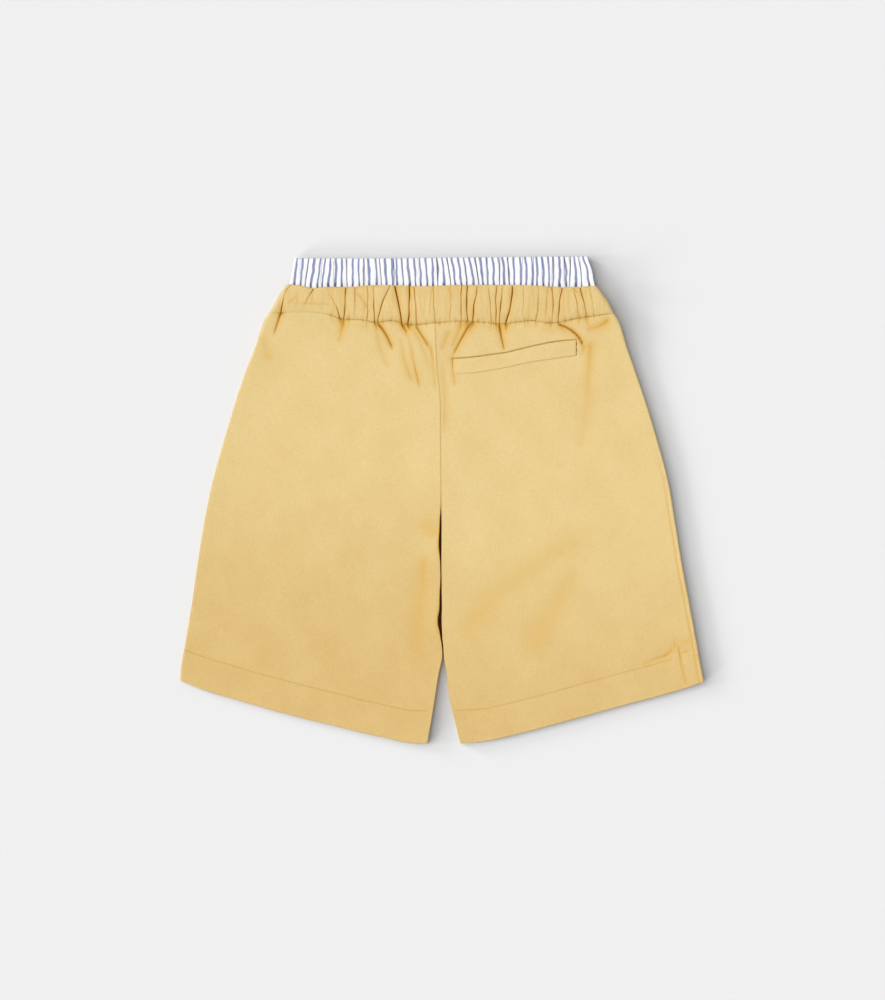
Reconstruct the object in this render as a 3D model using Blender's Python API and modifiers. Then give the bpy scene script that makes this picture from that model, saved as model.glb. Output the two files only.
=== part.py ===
"""A child's cotton pull-on shorts, laid flat with the back up.

X runs across the garment, Y from the hems to the waist, and Z up from the surface it lies on.
The origin is under the middle of the outline. Sizes and tables are in millimetres. The front
lies under the back, each cloth is a wall, and the two join round the sides and the inseams.
"""

import bpy
import numpy as np

MM = 0.001

# ---- Cloth and seams
CLOTH_WALL = 1.1
BAND_WALL = 1.0
WELT_WALL = 1.0
SEAM_GAP = 0.3
LIP = 0.3  # upright stretch of a wall beside a seam
EDGE_TURNS = (0, 32, 62, 90)  # degrees round a turned edge, from its rim to the flat

# ---- Heights over the surface the shorts lie on
BODY_HEIGHT = 2.9  # back cloth where it lies on the front
STITCH_HEIGHT = 6.7  # back cloth at the stitching under the casing
CASING_HEIGHT = 8.8  # gathered casing round its elastic
WAIST_FALL = 24.0  # how far below the stitching the raised cloth settles
LEAST_HEIGHT = 2.5  # the back's lowest, clear of the front
EDGE_SWELL = 0.8  # the cloth springs up beside a fold or seam
SWELL_REACH = 12.0
BODY_SEAM_HEIGHT = 1.8  # side seam and inseam, half way up the edge
CASING_SEAM_HEIGHT = 3.5

# ---- Turned edges and grooves
BODY_EDGE = 1.6
CASING_EDGE = 3.4
BAND_EDGE = 1.3
SEAM_EDGE = 1.5  # the cloth beside the centre seam turns down over this width
SEAM_GROOVE = 1.7
FRONT_SEAM_GROOVE = 1.6
STITCH_GROOVE = 0.8
FRONT_STITCH_GROOVE = 0.5
STITCH_REACH = 2.2
CASING_SHOULDER = 6.0  # the casing swells to its height over this width
CASING_ROLL = 1.5  # the casing's fold turns down by this much at the waist
CASING_ROLL_WIDTH = 3.0

# ---- Hems
HEM_DEPTH = 25.0
HEM_STEP = 0.4  # doubled cloth stands higher
HEM_STEP_WIDTH = 2.0
HEM_GROOVE = 0.4
HEM_GROOVE_WIDTH = 1.4

# ---- Waist
SIDE_TOP = 141.5  # where the side seam meets the casing's stitching
CASING_TOP = 161.7
TOP_DIP = 0.9  # how far each gather pulls the casing's fold down
CROTCH = -4.0
CROTCH_BLEND = 22.0
FRONT_STITCHING = 135.5  # the front's stitching at its middle
BODY_LENGTH = 295.0  # from the casing's stitching to the hem's, for spacing rows
SEAM_CLEAR = 8.0  # creases die out this near to the centre seam
MERGING = 3.0  # creases that meet join into the deeper one, and don't add up
ROUNDING = 0.35  # share of a crease's width that is rounded at its bottom
TAIL_SPREAD = 14.0  # a gather widens to double over this distance below the casing
FRONT_SHARE = 0.5  # depth of a gather on the front, which lies pressed flat
FRONT_SHIFT = 3.0
FRONT_TAIL = 7.0

# ---- Inner striped band
BAND_HIDDEN = 154.0  # lower end, inside the casing
BAND_MOUTH = 161.0
BAND_SEAM_HALF = 1.6  # half the band's thickness at its folded ends
PRESSED_DEPTH = 0.25  # share of a fold's depth left inside the casing

# ---- Mesh rows and columns
CASING_COLUMN = 2.7
BODY_COLUMN = 4.8
FRONT_COLUMN = 16.0
LONE_FOLD = 3.4  # two gathers nearer than this have no column between them
FIRST_ROW = 2.0
ROW_GROWTH = 1.38
LAST_ROW = 32.0
HEM_ROWS = (0.0, 0.07, 1.0)
CASING_ROWS = (0.0, 0.07, 0.22, 0.5, 0.82, 0.95, 1.0)
FRONT_CASING_ROWS = (0.0, 0.09, 0.4, 1.0)
BAND_ROWS = (0.0, 0.25, 0.6, 1.0)
WELT_ROWS = (0.0, 0.5, 1.0)
WELT_COLUMNS = 19


def table(columns, rows):
    """A table's columns by name."""
    return dict(zip(columns.split(), np.array(rows, dtype=float).T))


# The outline's side edges, a row for each section across the garment.
SIDES = table("y left right", [
    (-138.5, -199.0, 198.8),
    (-130.0, -198.6, 197.0),
    (-106.0, -194.8, 192.6),
    (-76.0, -189.9, 187.0),
    (-45.0, -185.5, 181.2),
    (-15.0, -180.6, 176.4),
    (15.0, -174.4, 171.2),
    (45.0, -166.0, 163.2),
    (75.0, -157.0, 154.0),
    (99.0, -149.0, 145.9),
    (118.0, -141.4, 139.3),
    (130.0, -137.4, 135.8),
    (137.0, -135.0, 133.0),
    (141.5, -131.6, 130.0),
    (150.0, -126.3, 125.5),
    (157.0, -122.3, 120.4),
    (163.0, -117.0, 115.9),
])

# The centre seam down to the crotch, then the slit between the legs.
MIDDLE = table("y x gap", [
    (-186.0, 1.2, 25.6),
    (-167.0, 0.4, 17.5),
    (-152.0, -0.2, 11.4),
    (-129.0, 0.3, 5.0),
    (-118.0, 0.4, 0.8),
    (-110.0, -0.6, 1.2),
    (-96.0, -2.3, 3.0),
    (-76.0, -1.7, 1.6),
    (-45.0, -1.4, 0.7),
    (-4.0, -0.9, 0.3),
    (45.0, -1.6, 0.3),
    (83.0, -2.2, 0.3),
    (96.0, -3.8, 0.3),
    (135.0, -5.5, 0.3),
])

# Stitching that holds the casing, across the back.
STITCHING = table("x y", [
    (-131.6, 141.5),
    (-117.0, 142.3),
    (-97.0, 141.9),
    (-85.0, 140.0),
    (-75.0, 137.2),
    (-62.0, 136.6),
    (-50.0, 134.6),
    (-37.0, 135.8),
    (-28.0, 133.4),
    (-6.0, 134.0),
    (12.0, 135.5),
    (48.0, 133.8),
    (70.0, 135.8),
    (80.0, 134.2),
    (103.0, 137.6),
    (116.0, 139.6),
    (130.0, 141.5),
])

HEMS = {
    "left": table("x y", [
        (-199.0, -137.2),
        (-181.0, -144.2),
        (-157.0, -151.4),
        (-120.0, -162.0),
        (-84.0, -171.0),
        (-46.0, -180.0),
        (-24.0, -184.5),
        (-11.4, -185.0),
    ]),
    "right": table("x y", [
        (13.8, -184.6),
        (26.0, -184.0),
        (62.0, -176.4),
        (98.0, -166.8),
        (135.0, -156.6),
        (172.0, -146.6),
        (188.0, -141.8),
        (198.8, -137.8),
    ]),
}

# Gathers of the back casing: x at the fold and at the stitching, sideways bow between them,
# depth at each end, width, and how far and how slanted each runs on below the stitching.
GATHERS = table("top stitch bow top_depth stitch_depth width run lean", [
    (-113.6, -122.2, -1.0, 0.5, 1.7, 1.7, 15.0, -0.33),
    (-97.4, -107.0, 0.0, 1.0, 0.2, 1.8, 4.0, 0.0),
    (-89.7, -77.3, 0.0, 0.3, 1.2, 1.8, 6.0, 0.0),
    (-73.4, -74.8, 0.6, 1.4, 1.5, 1.6, 14.0, -0.15),
    (-66.1, -66.5, 0.0, 1.0, 0.1, 1.6, 4.0, 0.0),
    (-56.7, -56.9, 0.4, 0.9, 0.7, 1.7, 6.0, 0.0),
    (-51.4, -51.0, -0.6, 0.7, 1.7, 1.6, 5.0, 0.3),
    (-38.8, -48.7, -1.9, 1.1, 1.2, 1.6, 5.0, 0.3),
    (-36.2, -31.0, 0.4, 2.0, 1.6, 1.8, 7.0, 0.5),
    (-24.9, -26.1, 0.3, 1.7, 1.9, 1.9, 6.0, 0.3),
    (-21.6, -19.6, 0.3, 0.8, 1.0, 1.6, 8.0, 0.5),
    (-7.2, -5.5, 0.0, 0.8, 0.6, 1.4, 0.5, 0.0),
    (5.4, 5.8, 0.8, 0.5, 0.3, 1.7, 5.0, 0.0),
    (14.7, 14.1, 0.0, 1.0, 1.0, 1.7, 7.0, -0.3),
    (18.5, 18.7, 0.0, 1.8, 1.4, 1.7, 6.0, -0.2),
    (26.8, 23.3, -0.6, 0.6, 1.9, 1.8, 7.0, -0.4),
    (34.5, 36.9, 0.6, 0.6, 0.7, 1.7, 5.0, 0.0),
    (41.2, 40.4, -0.3, 0.9, 1.3, 1.6, 5.0, 0.2),
    (45.6, 43.0, 0.0, 0.5, 1.4, 1.6, 8.0, 0.1),
    (53.2, 48.3, 0.7, 1.6, 1.6, 1.8, 5.0, 0.0),
    (61.6, 61.4, 0.0, 0.4, 0.3, 1.7, 4.0, 0.0),
    (72.9, 70.9, 0.6, 0.6, 0.8, 1.8, 5.0, 0.0),
    (79.2, 78.2, 0.4, 0.5, 0.6, 1.6, 4.0, 0.0),
    (82.7, 82.3, 1.3, 1.4, 1.0, 1.6, 5.0, 0.0),
    (90.8, 87.9, -1.0, 1.5, 1.2, 1.7, 8.0, 0.6),
    (98.6, 102.9, 0.8, 1.1, 0.6, 1.7, 5.0, 0.2),
    (103.9, 109.0, 0.6, 1.9, 0.9, 1.8, 7.0, 0.3),
    (110.4, 115.0, 0.6, 0.6, 0.4, 1.7, 5.0, 0.0),
])

# Creases of the back panels, each from the waist side down: ends, middle, depth at the ends.
CREASES = table("x0 y0 xm ym x1 y1 depth0 depth1 width", [
    (-75.8, 137.0, -76.6, 128.0, -78.6, 118.0, 0.7, 0.5, 3.0),
    (-48.6, 133.3, -37.8, 114.3, -16.7, 83.1, 1.9, 0.5, 2.6),
    (-30.4, 132.2, -28.0, 129.0, -25.4, 125.0, 1.5, 0.6, 2.0),
    (-20.8, 131.9, -14.0, 114.0, -9.5, 92.0, 1.5, 0.5, 2.4),
    (-47.9, 118.6, -38.0, 104.0, -20.8, 88.5, 0.6, 0.4, 4.5),
    (21.0, 133.5, 14.7, 122.4, 8.4, 110.5, 1.9, 0.8, 2.3),
    (14.7, 133.0, 11.0, 124.0, 6.3, 114.0, 0.8, 0.4, 2.6),
    (43.0, 134.9, 45.0, 122.4, 47.1, 113.5, 1.8, 0.5, 2.4),
    (88.0, 133.0, 102.0, 127.5, 104.8, 113.0, 1.1, 1.0, 2.4),
    (113.2, 121.0, 110.6, 82.0, 102.0, 34.0, 0.9, 0.2, 5.0),
    (124.4, 135.5, 117.0, 132.0, 109.0, 129.2, 0.7, 0.4, 3.0),
    (4.9, 126.5, 2.0, 120.0, -1.0, 112.0, 0.6, 0.4, 2.6),
    (19.0, -96.0, 62.0, -56.0, 131.0, -13.0, 0.3, 0.2, 9.0),
    (69.6, -107.0, 88.0, -76.0, 103.4, -41.0, 0.3, 0.2, 9.0),
    (-14.0, -52.0, -17.0, -84.0, -20.5, -140.0, 0.3, 0.2, 6.0),
    (-12.6, -20.1, -7.0, -23.0, -2.6, -27.0, 0.4, 0.2, 2.6),
])

# The pocket's welt on the right back.
WELT = table("x top bottom", [
    (8.0, 107.0, 96.2),
    (22.0, 108.0, 96.6),
    (37.0, 110.0, 98.6),
    (47.0, 111.3, 100.4),
    (64.0, 115.3, 104.2),
    (81.5, 119.1, 106.9),
    (93.0, 120.6, 108.6),
    (101.3, 121.2, 109.7),
])

# The striped band's ends, its middle height and half its thickness, up from inside the casing.
BAND_SIDES = table("y left right middle half", [
    (154.0, -115.4, 113.6, 3.9, 1.35),
    (162.5, -115.4, 114.1, 3.8, 1.4),
    (167.0, -115.0, 114.6, 3.3, 1.9),
    (175.0, -114.0, 113.6, 2.6, 1.9),
    (185.2, -112.4, 110.2, 2.0, 1.6),
])
BAND_TOP = table("x y", [
    (-112.5, 183.6),
    (-60.0, 183.4),
    (0.0, 184.0),
    (60.0, 184.6),
    (110.2, 185.0),
])
BAND_FOLDS = table("top bottom depth width", [
    (-103.5, -104.5, 0.5, 1.6),
    (-91.0, -93.0, 0.6, 1.6),
    (-73.7, -73.5, 0.9, 1.5),
    (-59.0, -59.4, 0.6, 1.5),
    (-47.9, -42.6, 1.0, 1.6),
    (-33.0, -32.0, 0.8, 1.6),
    (-19.0, -17.0, 0.6, 1.6),
    (-4.5, -3.8, 1.1, 1.6),
    (7.0, 7.6, 0.8, 1.5),
    (25.8, 28.0, 1.1, 1.6),
    (33.4, 34.2, 0.6, 1.5),
    (43.5, 43.8, 0.8, 1.5),
    (50.5, 51.5, 1.1, 1.6),
    (60.0, 60.4, 0.5, 1.6),
    (72.0, 72.2, 0.6, 1.6),
    (80.5, 79.5, 0.7, 1.6),
    (92.0, 92.6, 0.9, 1.6),
    (97.0, 98.5, 0.9, 1.5),
    (106.0, 107.0, 0.5, 1.5),
])


# ---- Reading the tables


def smooth(at, stations, values):
    """A smooth curve through a table's values, level past its ends."""
    slopes = np.gradient(values, stations)
    at = np.clip(at, stations[0], stations[-1])
    last = len(stations) - 2
    i = np.clip(np.searchsorted(stations, at, side="right") - 1, 0, last)
    step = stations[i + 1] - stations[i]
    t = (at - stations[i]) / step
    ease = t * t * (3 - 2 * t)
    leave = t * (1 - t) ** 2 * step * slopes[i]
    arrive = t * t * (t - 1) * step * slopes[i + 1]
    return values[i] * (1 - ease) + values[i + 1] * ease + leave + arrive


def blend(a, b, t):
    return a + (b - a) * t


def ease(t):
    t = np.clip(t, 0, 1)
    return t * t * (3 - 2 * t)


def side_x(leg, y):
    return smooth(y, SIDES["y"], SIDES[leg])


def inner_x(leg, y):
    """A leg panel's edge at the centre seam, and at the inseam below the crotch."""
    towards_leg = -1 if leg == "left" else 1
    gap = smooth(y, MIDDLE["y"], MIDDLE["gap"])
    return smooth(y, MIDDLE["y"], MIDDLE["x"]) + towards_leg * gap / 2


def stitch_y(x, back=True):
    """The casing's stitching: wavy on the gathered back, a plain arc on the front."""
    if back:
        return smooth(x, STITCHING["x"], STITCHING["y"])
    return blend(FRONT_STITCHING, SIDE_TOP, (x / STITCHING["x"][-1]) ** 2)


def hem_y(leg, x):
    return smooth(x, HEMS[leg]["x"], HEMS[leg]["y"])


# ---- Folds


def valley(distance, width):
    """A crease's section: sharp at the bottom, with soft shoulders."""
    rounding = ROUNDING * width
    return np.exp((rounding - np.hypot(distance, rounding)) / width)


def crease_depth(x, y, row):
    """Depth of one crease at each point, from the nearest point of its curve."""
    steps = np.linspace(0, 1, 9)
    pull_x = 2 * row["xm"] - (row["x0"] + row["x1"]) / 2
    pull_y = 2 * row["ym"] - (row["y0"] + row["y1"]) / 2
    line_x = (1 - steps) ** 2 * row["x0"] + 2 * steps * (1 - steps) * pull_x + steps ** 2 * row["x1"]
    line_y = (1 - steps) ** 2 * row["y0"] + 2 * steps * (1 - steps) * pull_y + steps ** 2 * row["y1"]
    nearest = np.full(np.shape(x), np.inf)
    along = np.zeros(np.shape(x))
    for i in range(len(steps) - 1):
        run_x = line_x[i + 1] - line_x[i]
        run_y = line_y[i + 1] - line_y[i]
        part = ((x - line_x[i]) * run_x + (y - line_y[i]) * run_y) / (run_x ** 2 + run_y ** 2)
        part = np.clip(part, 0, 1)
        distance = np.hypot(x - line_x[i] - part * run_x, y - line_y[i] - part * run_y)
        along = np.where(distance < nearest, blend(steps[i], steps[i + 1], part), along)
        nearest = np.minimum(nearest, distance)
    return blend(row["depth0"], row["depth1"], along) * valley(nearest, row["width"])


def rows_of(columns):
    """A table's rows, each by column name."""
    names = list(columns)
    return [dict(zip(names, values)) for values in zip(*columns.values())]


def front_gathers():
    """The front's gathers: every second one of the back's, seen from the other side."""
    kept = {name: column[::-2] for name, column in GATHERS.items()}
    mirrored = dict(kept)
    for name in ("top", "stitch", "bow", "lean"):
        mirrored[name] = -kept[name]
    for name in ("top", "stitch"):
        mirrored[name] = mirrored[name] + FRONT_SHIFT
    for name in ("top_depth", "stitch_depth"):
        mirrored[name] = kept[name] * FRONT_SHARE
    mirrored["run"] = np.full(len(kept["run"]), FRONT_TAIL)
    return mirrored


FRONT_GATHERS = front_gathers()


def merged(depths):
    """Depth where several folds meet."""
    return sum(depth ** MERGING for depth in depths) ** (1 / MERGING)


def tail_depths(x, below, gathers):
    """Depths of the gathers that run on into the body, at a distance below the stitching."""
    depths = []
    for row in rows_of(gathers):
        spread = row["width"] * (1 + below / TAIL_SPREAD)
        centre = row["stitch"] + row["lean"] * below
        fade = np.exp(-((below / row["run"]) ** 1.5))
        depths.append(row["stitch_depth"] * fade * valley(x - centre, spread))
    return depths


def casing_depth(x, level, gathers):
    """Depth of the casing's gathers, level 0 at the stitching and 1 at the fold."""
    depths = []
    for row in rows_of(gathers):
        centre = blend(row["stitch"], row["top"], level) + row["bow"] * 4 * level * (1 - level)
        size = blend(row["stitch_depth"], row["top_depth"], level)
        depths.append(size * valley(x - centre, row["width"]))
    return merged(depths)


# ---- Heights


def back_height(leg, x, y):
    """The back cloth's upper face."""
    below = np.maximum(stitch_y(x) - SEAM_GAP / 2 - y, 0)
    raised = (STITCH_HEIGHT - BODY_HEIGHT) * np.exp(-((below / WAIST_FALL) ** 1.3))
    to_side = np.abs(x - side_x(leg, y))
    to_seam = np.abs(x - inner_x(leg, y))
    swell = EDGE_SWELL * (np.exp(-to_side / SWELL_REACH) + np.exp(-to_seam / SWELL_REACH))
    over_hem = y - hem_y(leg, x) - HEM_DEPTH
    hem = HEM_STEP * ease(0.5 - over_hem / HEM_STEP_WIDTH) - HEM_GROOVE * valley(over_hem, HEM_GROOVE_WIDTH)
    stitched = STITCH_GROOVE * np.exp(-below / STITCH_REACH)
    folds = tail_depths(x, below, GATHERS) + [crease_depth(x, y, row) for row in rows_of(CREASES)]
    folded = merged(folds) * ease(to_seam / SEAM_CLEAR)
    return np.maximum(BODY_HEIGHT + raised + swell + hem - stitched - folded, LEAST_HEIGHT)


def front_height(leg, x, y):
    """The front cloth's lower face: on the floor but for the gathers."""
    below = np.maximum(stitch_y(x, False) - SEAM_GAP / 2 - y, 0)
    stitched = FRONT_STITCH_GROOVE * np.exp(-below / STITCH_REACH)
    return stitched + merged(tail_depths(x, below, FRONT_GATHERS))


def side_seam_height(y):
    """Middle height of the side edge, rising to the casing."""
    below = np.maximum(SIDE_TOP - y, 0)
    return blend(BODY_SEAM_HEIGHT, CASING_SEAM_HEIGHT, np.exp(-below / WAIST_FALL))


def edge_section(reach):
    """Insets across a turned edge, and the share of the turn made there. -1 marks the rim."""
    turns = np.radians(EDGE_TURNS)
    return np.append(0, reach * (1 - np.cos(turns))), np.append(-1, np.sin(turns))


def turned(rim, flat, made):
    """Height round a turned edge: upright from the rim, then round to the flat."""
    lip = LIP * np.sign(flat - rim)
    return np.where(made < 0, rim, rim + lip + (flat - rim - lip) * np.maximum(made, 0))


# ---- Grids of points


def fold_columns(folds, first, last, spacing):
    """Columns from first to last, one on each fold and evenly between folds."""
    marks = [first] + [x for x in folds if first + spacing / 2 < x < last - spacing / 2] + [last]
    columns = [first]
    for a, b in zip(marks, marks[1:]):
        count = max(round((b - a) / spacing), 1 if b - a < LONE_FOLD else 2)
        columns += list(np.linspace(a, b, count + 1)[1:])
    return np.array(columns)


def growing_rows(first, growth, longest, length):
    """Shares of a length, close together at the start."""
    rows = [0.0]
    step = first
    while rows[-1] < length:
        rows.append(rows[-1] + step)
        step = min(step * growth, longest)
    return np.array(rows) / rows[-1]


def panel_points(leg, back):
    """Points over one leg panel, with its edges turned round to meet the other side."""
    inward = 1 if leg == "left" else -1
    side_bottom = HEMS[leg]["y"][0] if leg == "left" else HEMS[leg]["y"][-1]
    hem_inner = HEMS[leg]["y"][-1] if leg == "left" else HEMS[leg]["y"][0]
    seam_top = stitch_y(inner_x(leg, SIDE_TOP), back)
    side_length = SIDE_TOP - side_bottom
    seam_length = seam_top - hem_inner

    seam_inset, seam_made = edge_section(SEAM_EDGE)
    top_side = side_x(leg, SIDE_TOP)
    top_width = abs(inner_x(leg, seam_top) - top_side)
    spacing = BODY_COLUMN if back else FRONT_COLUMN
    folds = (GATHERS["stitch"] if back else np.array([])) - top_side
    folds = np.sort(folds * inward)
    marks = fold_columns(folds, CASING_EDGE, top_width - SEAM_EDGE, spacing)
    at_top = (marks - marks[0]) / (marks[-1] - marks[0])
    at_hem = np.linspace(0, 1, len(marks))
    body_rows = growing_rows(FIRST_ROW, ROW_GROWTH, LAST_ROW, BODY_LENGTH)

    sheet = []
    for share, hem_share in [(row, 0.0) for row in body_rows] + [(1.0, row) for row in HEM_ROWS[1:]]:
        # Each row's ends on the side edge and the inner edge, and the shares of the way between.
        down_side = share * (side_length - HEM_DEPTH) + hem_share * HEM_DEPTH
        down_seam = share * (seam_length - HEM_DEPTH) + hem_share * HEM_DEPTH
        inset, made = edge_section(blend(BODY_EDGE, CASING_EDGE, np.exp(-down_side / WAIST_FALL)))
        outer = side_x(leg, SIDE_TOP - down_side)
        inner = inner_x(leg, seam_top - down_seam)
        width = abs(inner - outer)
        middle = blend(at_top, at_hem, ease(share))
        middle = blend(inset[-1] / width, 1 - seam_inset[-1] / width, middle)
        across = np.concatenate([inset / width, middle[1:-1], 1 - seam_inset[::-1] / width])
        x = blend(outer, inner, across)
        down = blend(down_side, down_seam, across) / blend(side_length, seam_length, across)
        top_x = blend(top_side, inner_x(leg, seam_top), across)
        hem_x = blend(HEMS[leg]["x"][0 if leg == "left" else -1],
                      HEMS[leg]["x"][-1 if leg == "left" else 0], across)
        top_y = stitch_y(top_x, back) - SEAM_GAP / 2
        bottom_y = hem_y(leg, hem_x)
        y = blend(top_y, bottom_y, down)
        flat = back_height(leg, x, y) if back else front_height(leg, x, y)

        seam_side = SEAM_GAP / 2 if back else -SEAM_GAP / 2
        side_rim = side_seam_height(y) + seam_side
        open_leg = ease((CROTCH + CROTCH_BLEND / 2 - y) / CROTCH_BLEND)
        closed = flat - SEAM_GROOVE if back else flat + FRONT_SEAM_GROOVE
        seam_rim = blend(closed, BODY_SEAM_HEIGHT + seam_side, open_leg)
        z = flat.copy()
        count = len(inset)
        z[:count] = turned(side_rim[:count], flat[:count], made)
        z[-count:] = turned(seam_rim[-count:], flat[-count:], seam_made[::-1])
        sheet.append(np.stack([x, y, z], axis=-1))
    return np.array(sheet)


def casing_points(back):
    """Points over half the casing, from its stitching up to its fold."""
    gathers = GATHERS if back else FRONT_GATHERS
    order = np.argsort(gathers["stitch"])
    inset, made = edge_section(CASING_EDGE)
    ends = {leg: (side_x(leg, SIDE_TOP), side_x(leg, CASING_TOP)) for leg in ("left", "right")}
    stitch_ends = (ends["left"][0] + CASING_EDGE, ends["right"][0] - CASING_EDGE)
    top_ends = (ends["left"][1] + CASING_EDGE, ends["right"][1] - CASING_EDGE)
    spacing = CASING_COLUMN if back else FRONT_COLUMN / 2
    at_stitch = fold_columns(gathers["stitch"][order], *stitch_ends, spacing)
    known = np.concatenate([[stitch_ends[0]], gathers["stitch"][order], [stitch_ends[1]]])
    at_top = np.interp(at_stitch, known,
                       np.concatenate([[top_ends[0]], gathers["top"][order], [top_ends[1]]]))
    bow = np.interp(at_stitch, known, np.concatenate([[0], gathers["bow"][order], [0]]))

    sheet = []
    for level in CASING_ROWS if back else FRONT_CASING_ROWS:
        end_y = blend(SIDE_TOP, CASING_TOP, level)
        left = side_x("left", end_y)
        right = side_x("right", end_y)
        middle = blend(at_stitch, at_top, level) + bow * 4 * level * (1 - level)
        # The ends curve, and the columns near them follow.
        from_left = left + CASING_EDGE - middle[0]
        from_right = right - CASING_EDGE - middle[-1]
        middle = middle + from_left * np.exp(-(at_stitch - at_stitch[0]) / SWELL_REACH)
        middle = middle + from_right * np.exp(-(at_stitch[-1] - at_stitch) / SWELL_REACH)
        x = np.concatenate([left + inset, middle[1:-1], right - inset[::-1]])
        stitch_x = np.concatenate([ends["left"][0] + inset, at_stitch[1:-1],
                                   ends["right"][0] - inset[::-1]])
        depth = casing_depth(x, level, gathers)
        stitched_y = stitch_y(stitch_x, back)
        y = blend(stitched_y + SEAM_GAP / 2, CASING_TOP - TOP_DIP * depth / 2, level)
        if back:
            rise = np.clip((y - stitched_y) / CASING_SHOULDER, 0, 1)
            swollen = np.sqrt(1 - (1 - rise) ** 2)
            from_top = np.clip((CASING_TOP - y) / CASING_ROLL_WIDTH, 0, 1)
            rolled = CASING_ROLL * (1 - np.sqrt(1 - (1 - from_top) ** 2))
            flat = blend(STITCH_HEIGHT - STITCH_GROOVE, CASING_HEIGHT, swollen) - rolled - depth
        else:
            above = y - stitched_y - SEAM_GAP / 2
            flat = FRONT_STITCH_GROOVE * np.exp(-above / STITCH_REACH) + depth
        rim = CASING_SEAM_HEIGHT + (SEAM_GAP / 2 if back else -SEAM_GAP / 2)
        count = len(inset)
        z = flat.copy()
        z[:count] = turned(rim, flat[:count], made)
        z[-count:] = turned(rim, flat[-count:], made[::-1])
        sheet.append(np.stack([x, y, z], axis=-1))
    return np.array(sheet)


def band_points(back):
    """Points over half the striped band, from inside the casing up to its own fold."""
    folds = BAND_FOLDS if back else {name: column[::2] for name, column in BAND_FOLDS.items()}
    inset, made = edge_section(BAND_EDGE)
    spacing = CASING_COLUMN if back else FRONT_COLUMN / 2
    bottom_ends = (BAND_SIDES["left"][0] + BAND_EDGE, BAND_SIDES["right"][0] - BAND_EDGE)
    top_ends = (BAND_SIDES["left"][-1] + BAND_EDGE, BAND_SIDES["right"][-1] - BAND_EDGE)
    at_bottom = fold_columns(folds["bottom"], *bottom_ends, spacing)
    known = np.concatenate([[bottom_ends[0]], folds["bottom"], [bottom_ends[1]]])
    at_top = np.interp(at_bottom, known, np.concatenate([[top_ends[0]], folds["top"], [top_ends[1]]]))

    side = 1 if back else -1
    sheet = []
    for level in BAND_ROWS:
        end_y = blend(BAND_HIDDEN, BAND_SIDES["y"][-1], level)
        left = smooth(end_y, BAND_SIDES["y"], BAND_SIDES["left"])
        right = smooth(end_y, BAND_SIDES["y"], BAND_SIDES["right"])
        middle = blend(at_bottom, at_top, level)
        span = (middle - middle[0]) / (middle[-1] - middle[0])
        middle = blend(left + BAND_EDGE, right - BAND_EDGE, span)
        x = np.concatenate([left + inset, middle[1:-1], right - inset[::-1]])
        y = blend(BAND_HIDDEN, smooth(x, BAND_TOP["x"], BAND_TOP["y"]), level)
        rise = np.clip((y - BAND_MOUTH) / (BAND_SIDES["y"][-1] - BAND_MOUTH), 0, 1)
        share = blend(PRESSED_DEPTH, 1.0, ease(3 * rise))
        depth = share * merged(
            row["depth"] * valley(x - blend(row["bottom"], row["top"], level), row["width"])
            for row in rows_of(folds)
        )
        height = smooth(y, BAND_SIDES["y"], BAND_SIDES["middle"])
        half = smooth(y, BAND_SIDES["y"], BAND_SIDES["half"])
        flat = height + side * np.maximum(half - depth * (1 if back else FRONT_SHARE),
                                          BAND_WALL + SEAM_GAP / 2)
        rim = height + side * SEAM_GAP / 2
        count = len(inset)
        z = flat.copy()
        outward = height + side * np.maximum(half, BAND_SEAM_HALF)
        z[:count] = turned(rim[:count], outward[:count], made)
        z[-count:] = turned(rim[-count:], outward[-count:], made[::-1])
        sheet.append(np.stack([x, y, z], axis=-1))
    return np.array(sheet)


def welt_points():
    """Points over the welt's upper face, from the panel's own points, moved out."""
    x = np.linspace(WELT["x"][0], WELT["x"][-1], WELT_COLUMNS)
    sheet = []
    for share in WELT_ROWS:
        y = blend(smooth(x, WELT["x"], WELT["bottom"]), smooth(x, WELT["x"], WELT["top"]), share)
        z = back_height("right", x, y) + SEAM_GAP + WELT_WALL
        sheet.append(np.stack([x, y, z], axis=-1))
    return np.array(sheet)


# ---- Objects


def finish(name, colour, roughness):
    """A matt cloth."""
    material = bpy.data.materials.new(name)
    material.use_nodes = True
    shader = material.node_tree.nodes["Principled BSDF"]
    shader.inputs["Base Color"].default_value = (*colour, 1)
    shader.inputs["Roughness"].default_value = roughness
    shader.inputs["Metallic"].default_value = 0.0
    material.diffuse_color = (*colour, 1)
    return material


def add_cloth(name, points, wall, material, collection, facing_up):
    """A cloth wall: an open surface through rows of points, thickened inwards."""
    row_count, column_count = points.shape[:2]
    faces = []
    for row in range(row_count - 1):
        for column in range(column_count - 1):
            corner = row * column_count + column
            faces.append((corner, corner + 1, corner + column_count + 1, corner + column_count))
    step_across = points[0, -1] - points[0, 0]
    step_along = points[-1, 0] - points[0, 0]
    counterclockwise = step_across[0] * step_along[1] - step_across[1] * step_along[0] > 0
    if counterclockwise != facing_up:
        faces = [face[::-1] for face in faces]
    mesh = bpy.data.meshes.new(name)
    mesh.from_pydata((points.reshape(-1, 3) * MM).tolist(), [], faces)
    mesh.shade_smooth()
    mesh.materials.append(material)
    cloth = bpy.data.objects.new(name, mesh)
    collection.objects.link(cloth)
    shell = cloth.modifiers.new("wall", "SOLIDIFY")
    shell.thickness = wall * MM
    shell.offset = -1
    shell.use_even_offset = True
    return cloth


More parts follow.
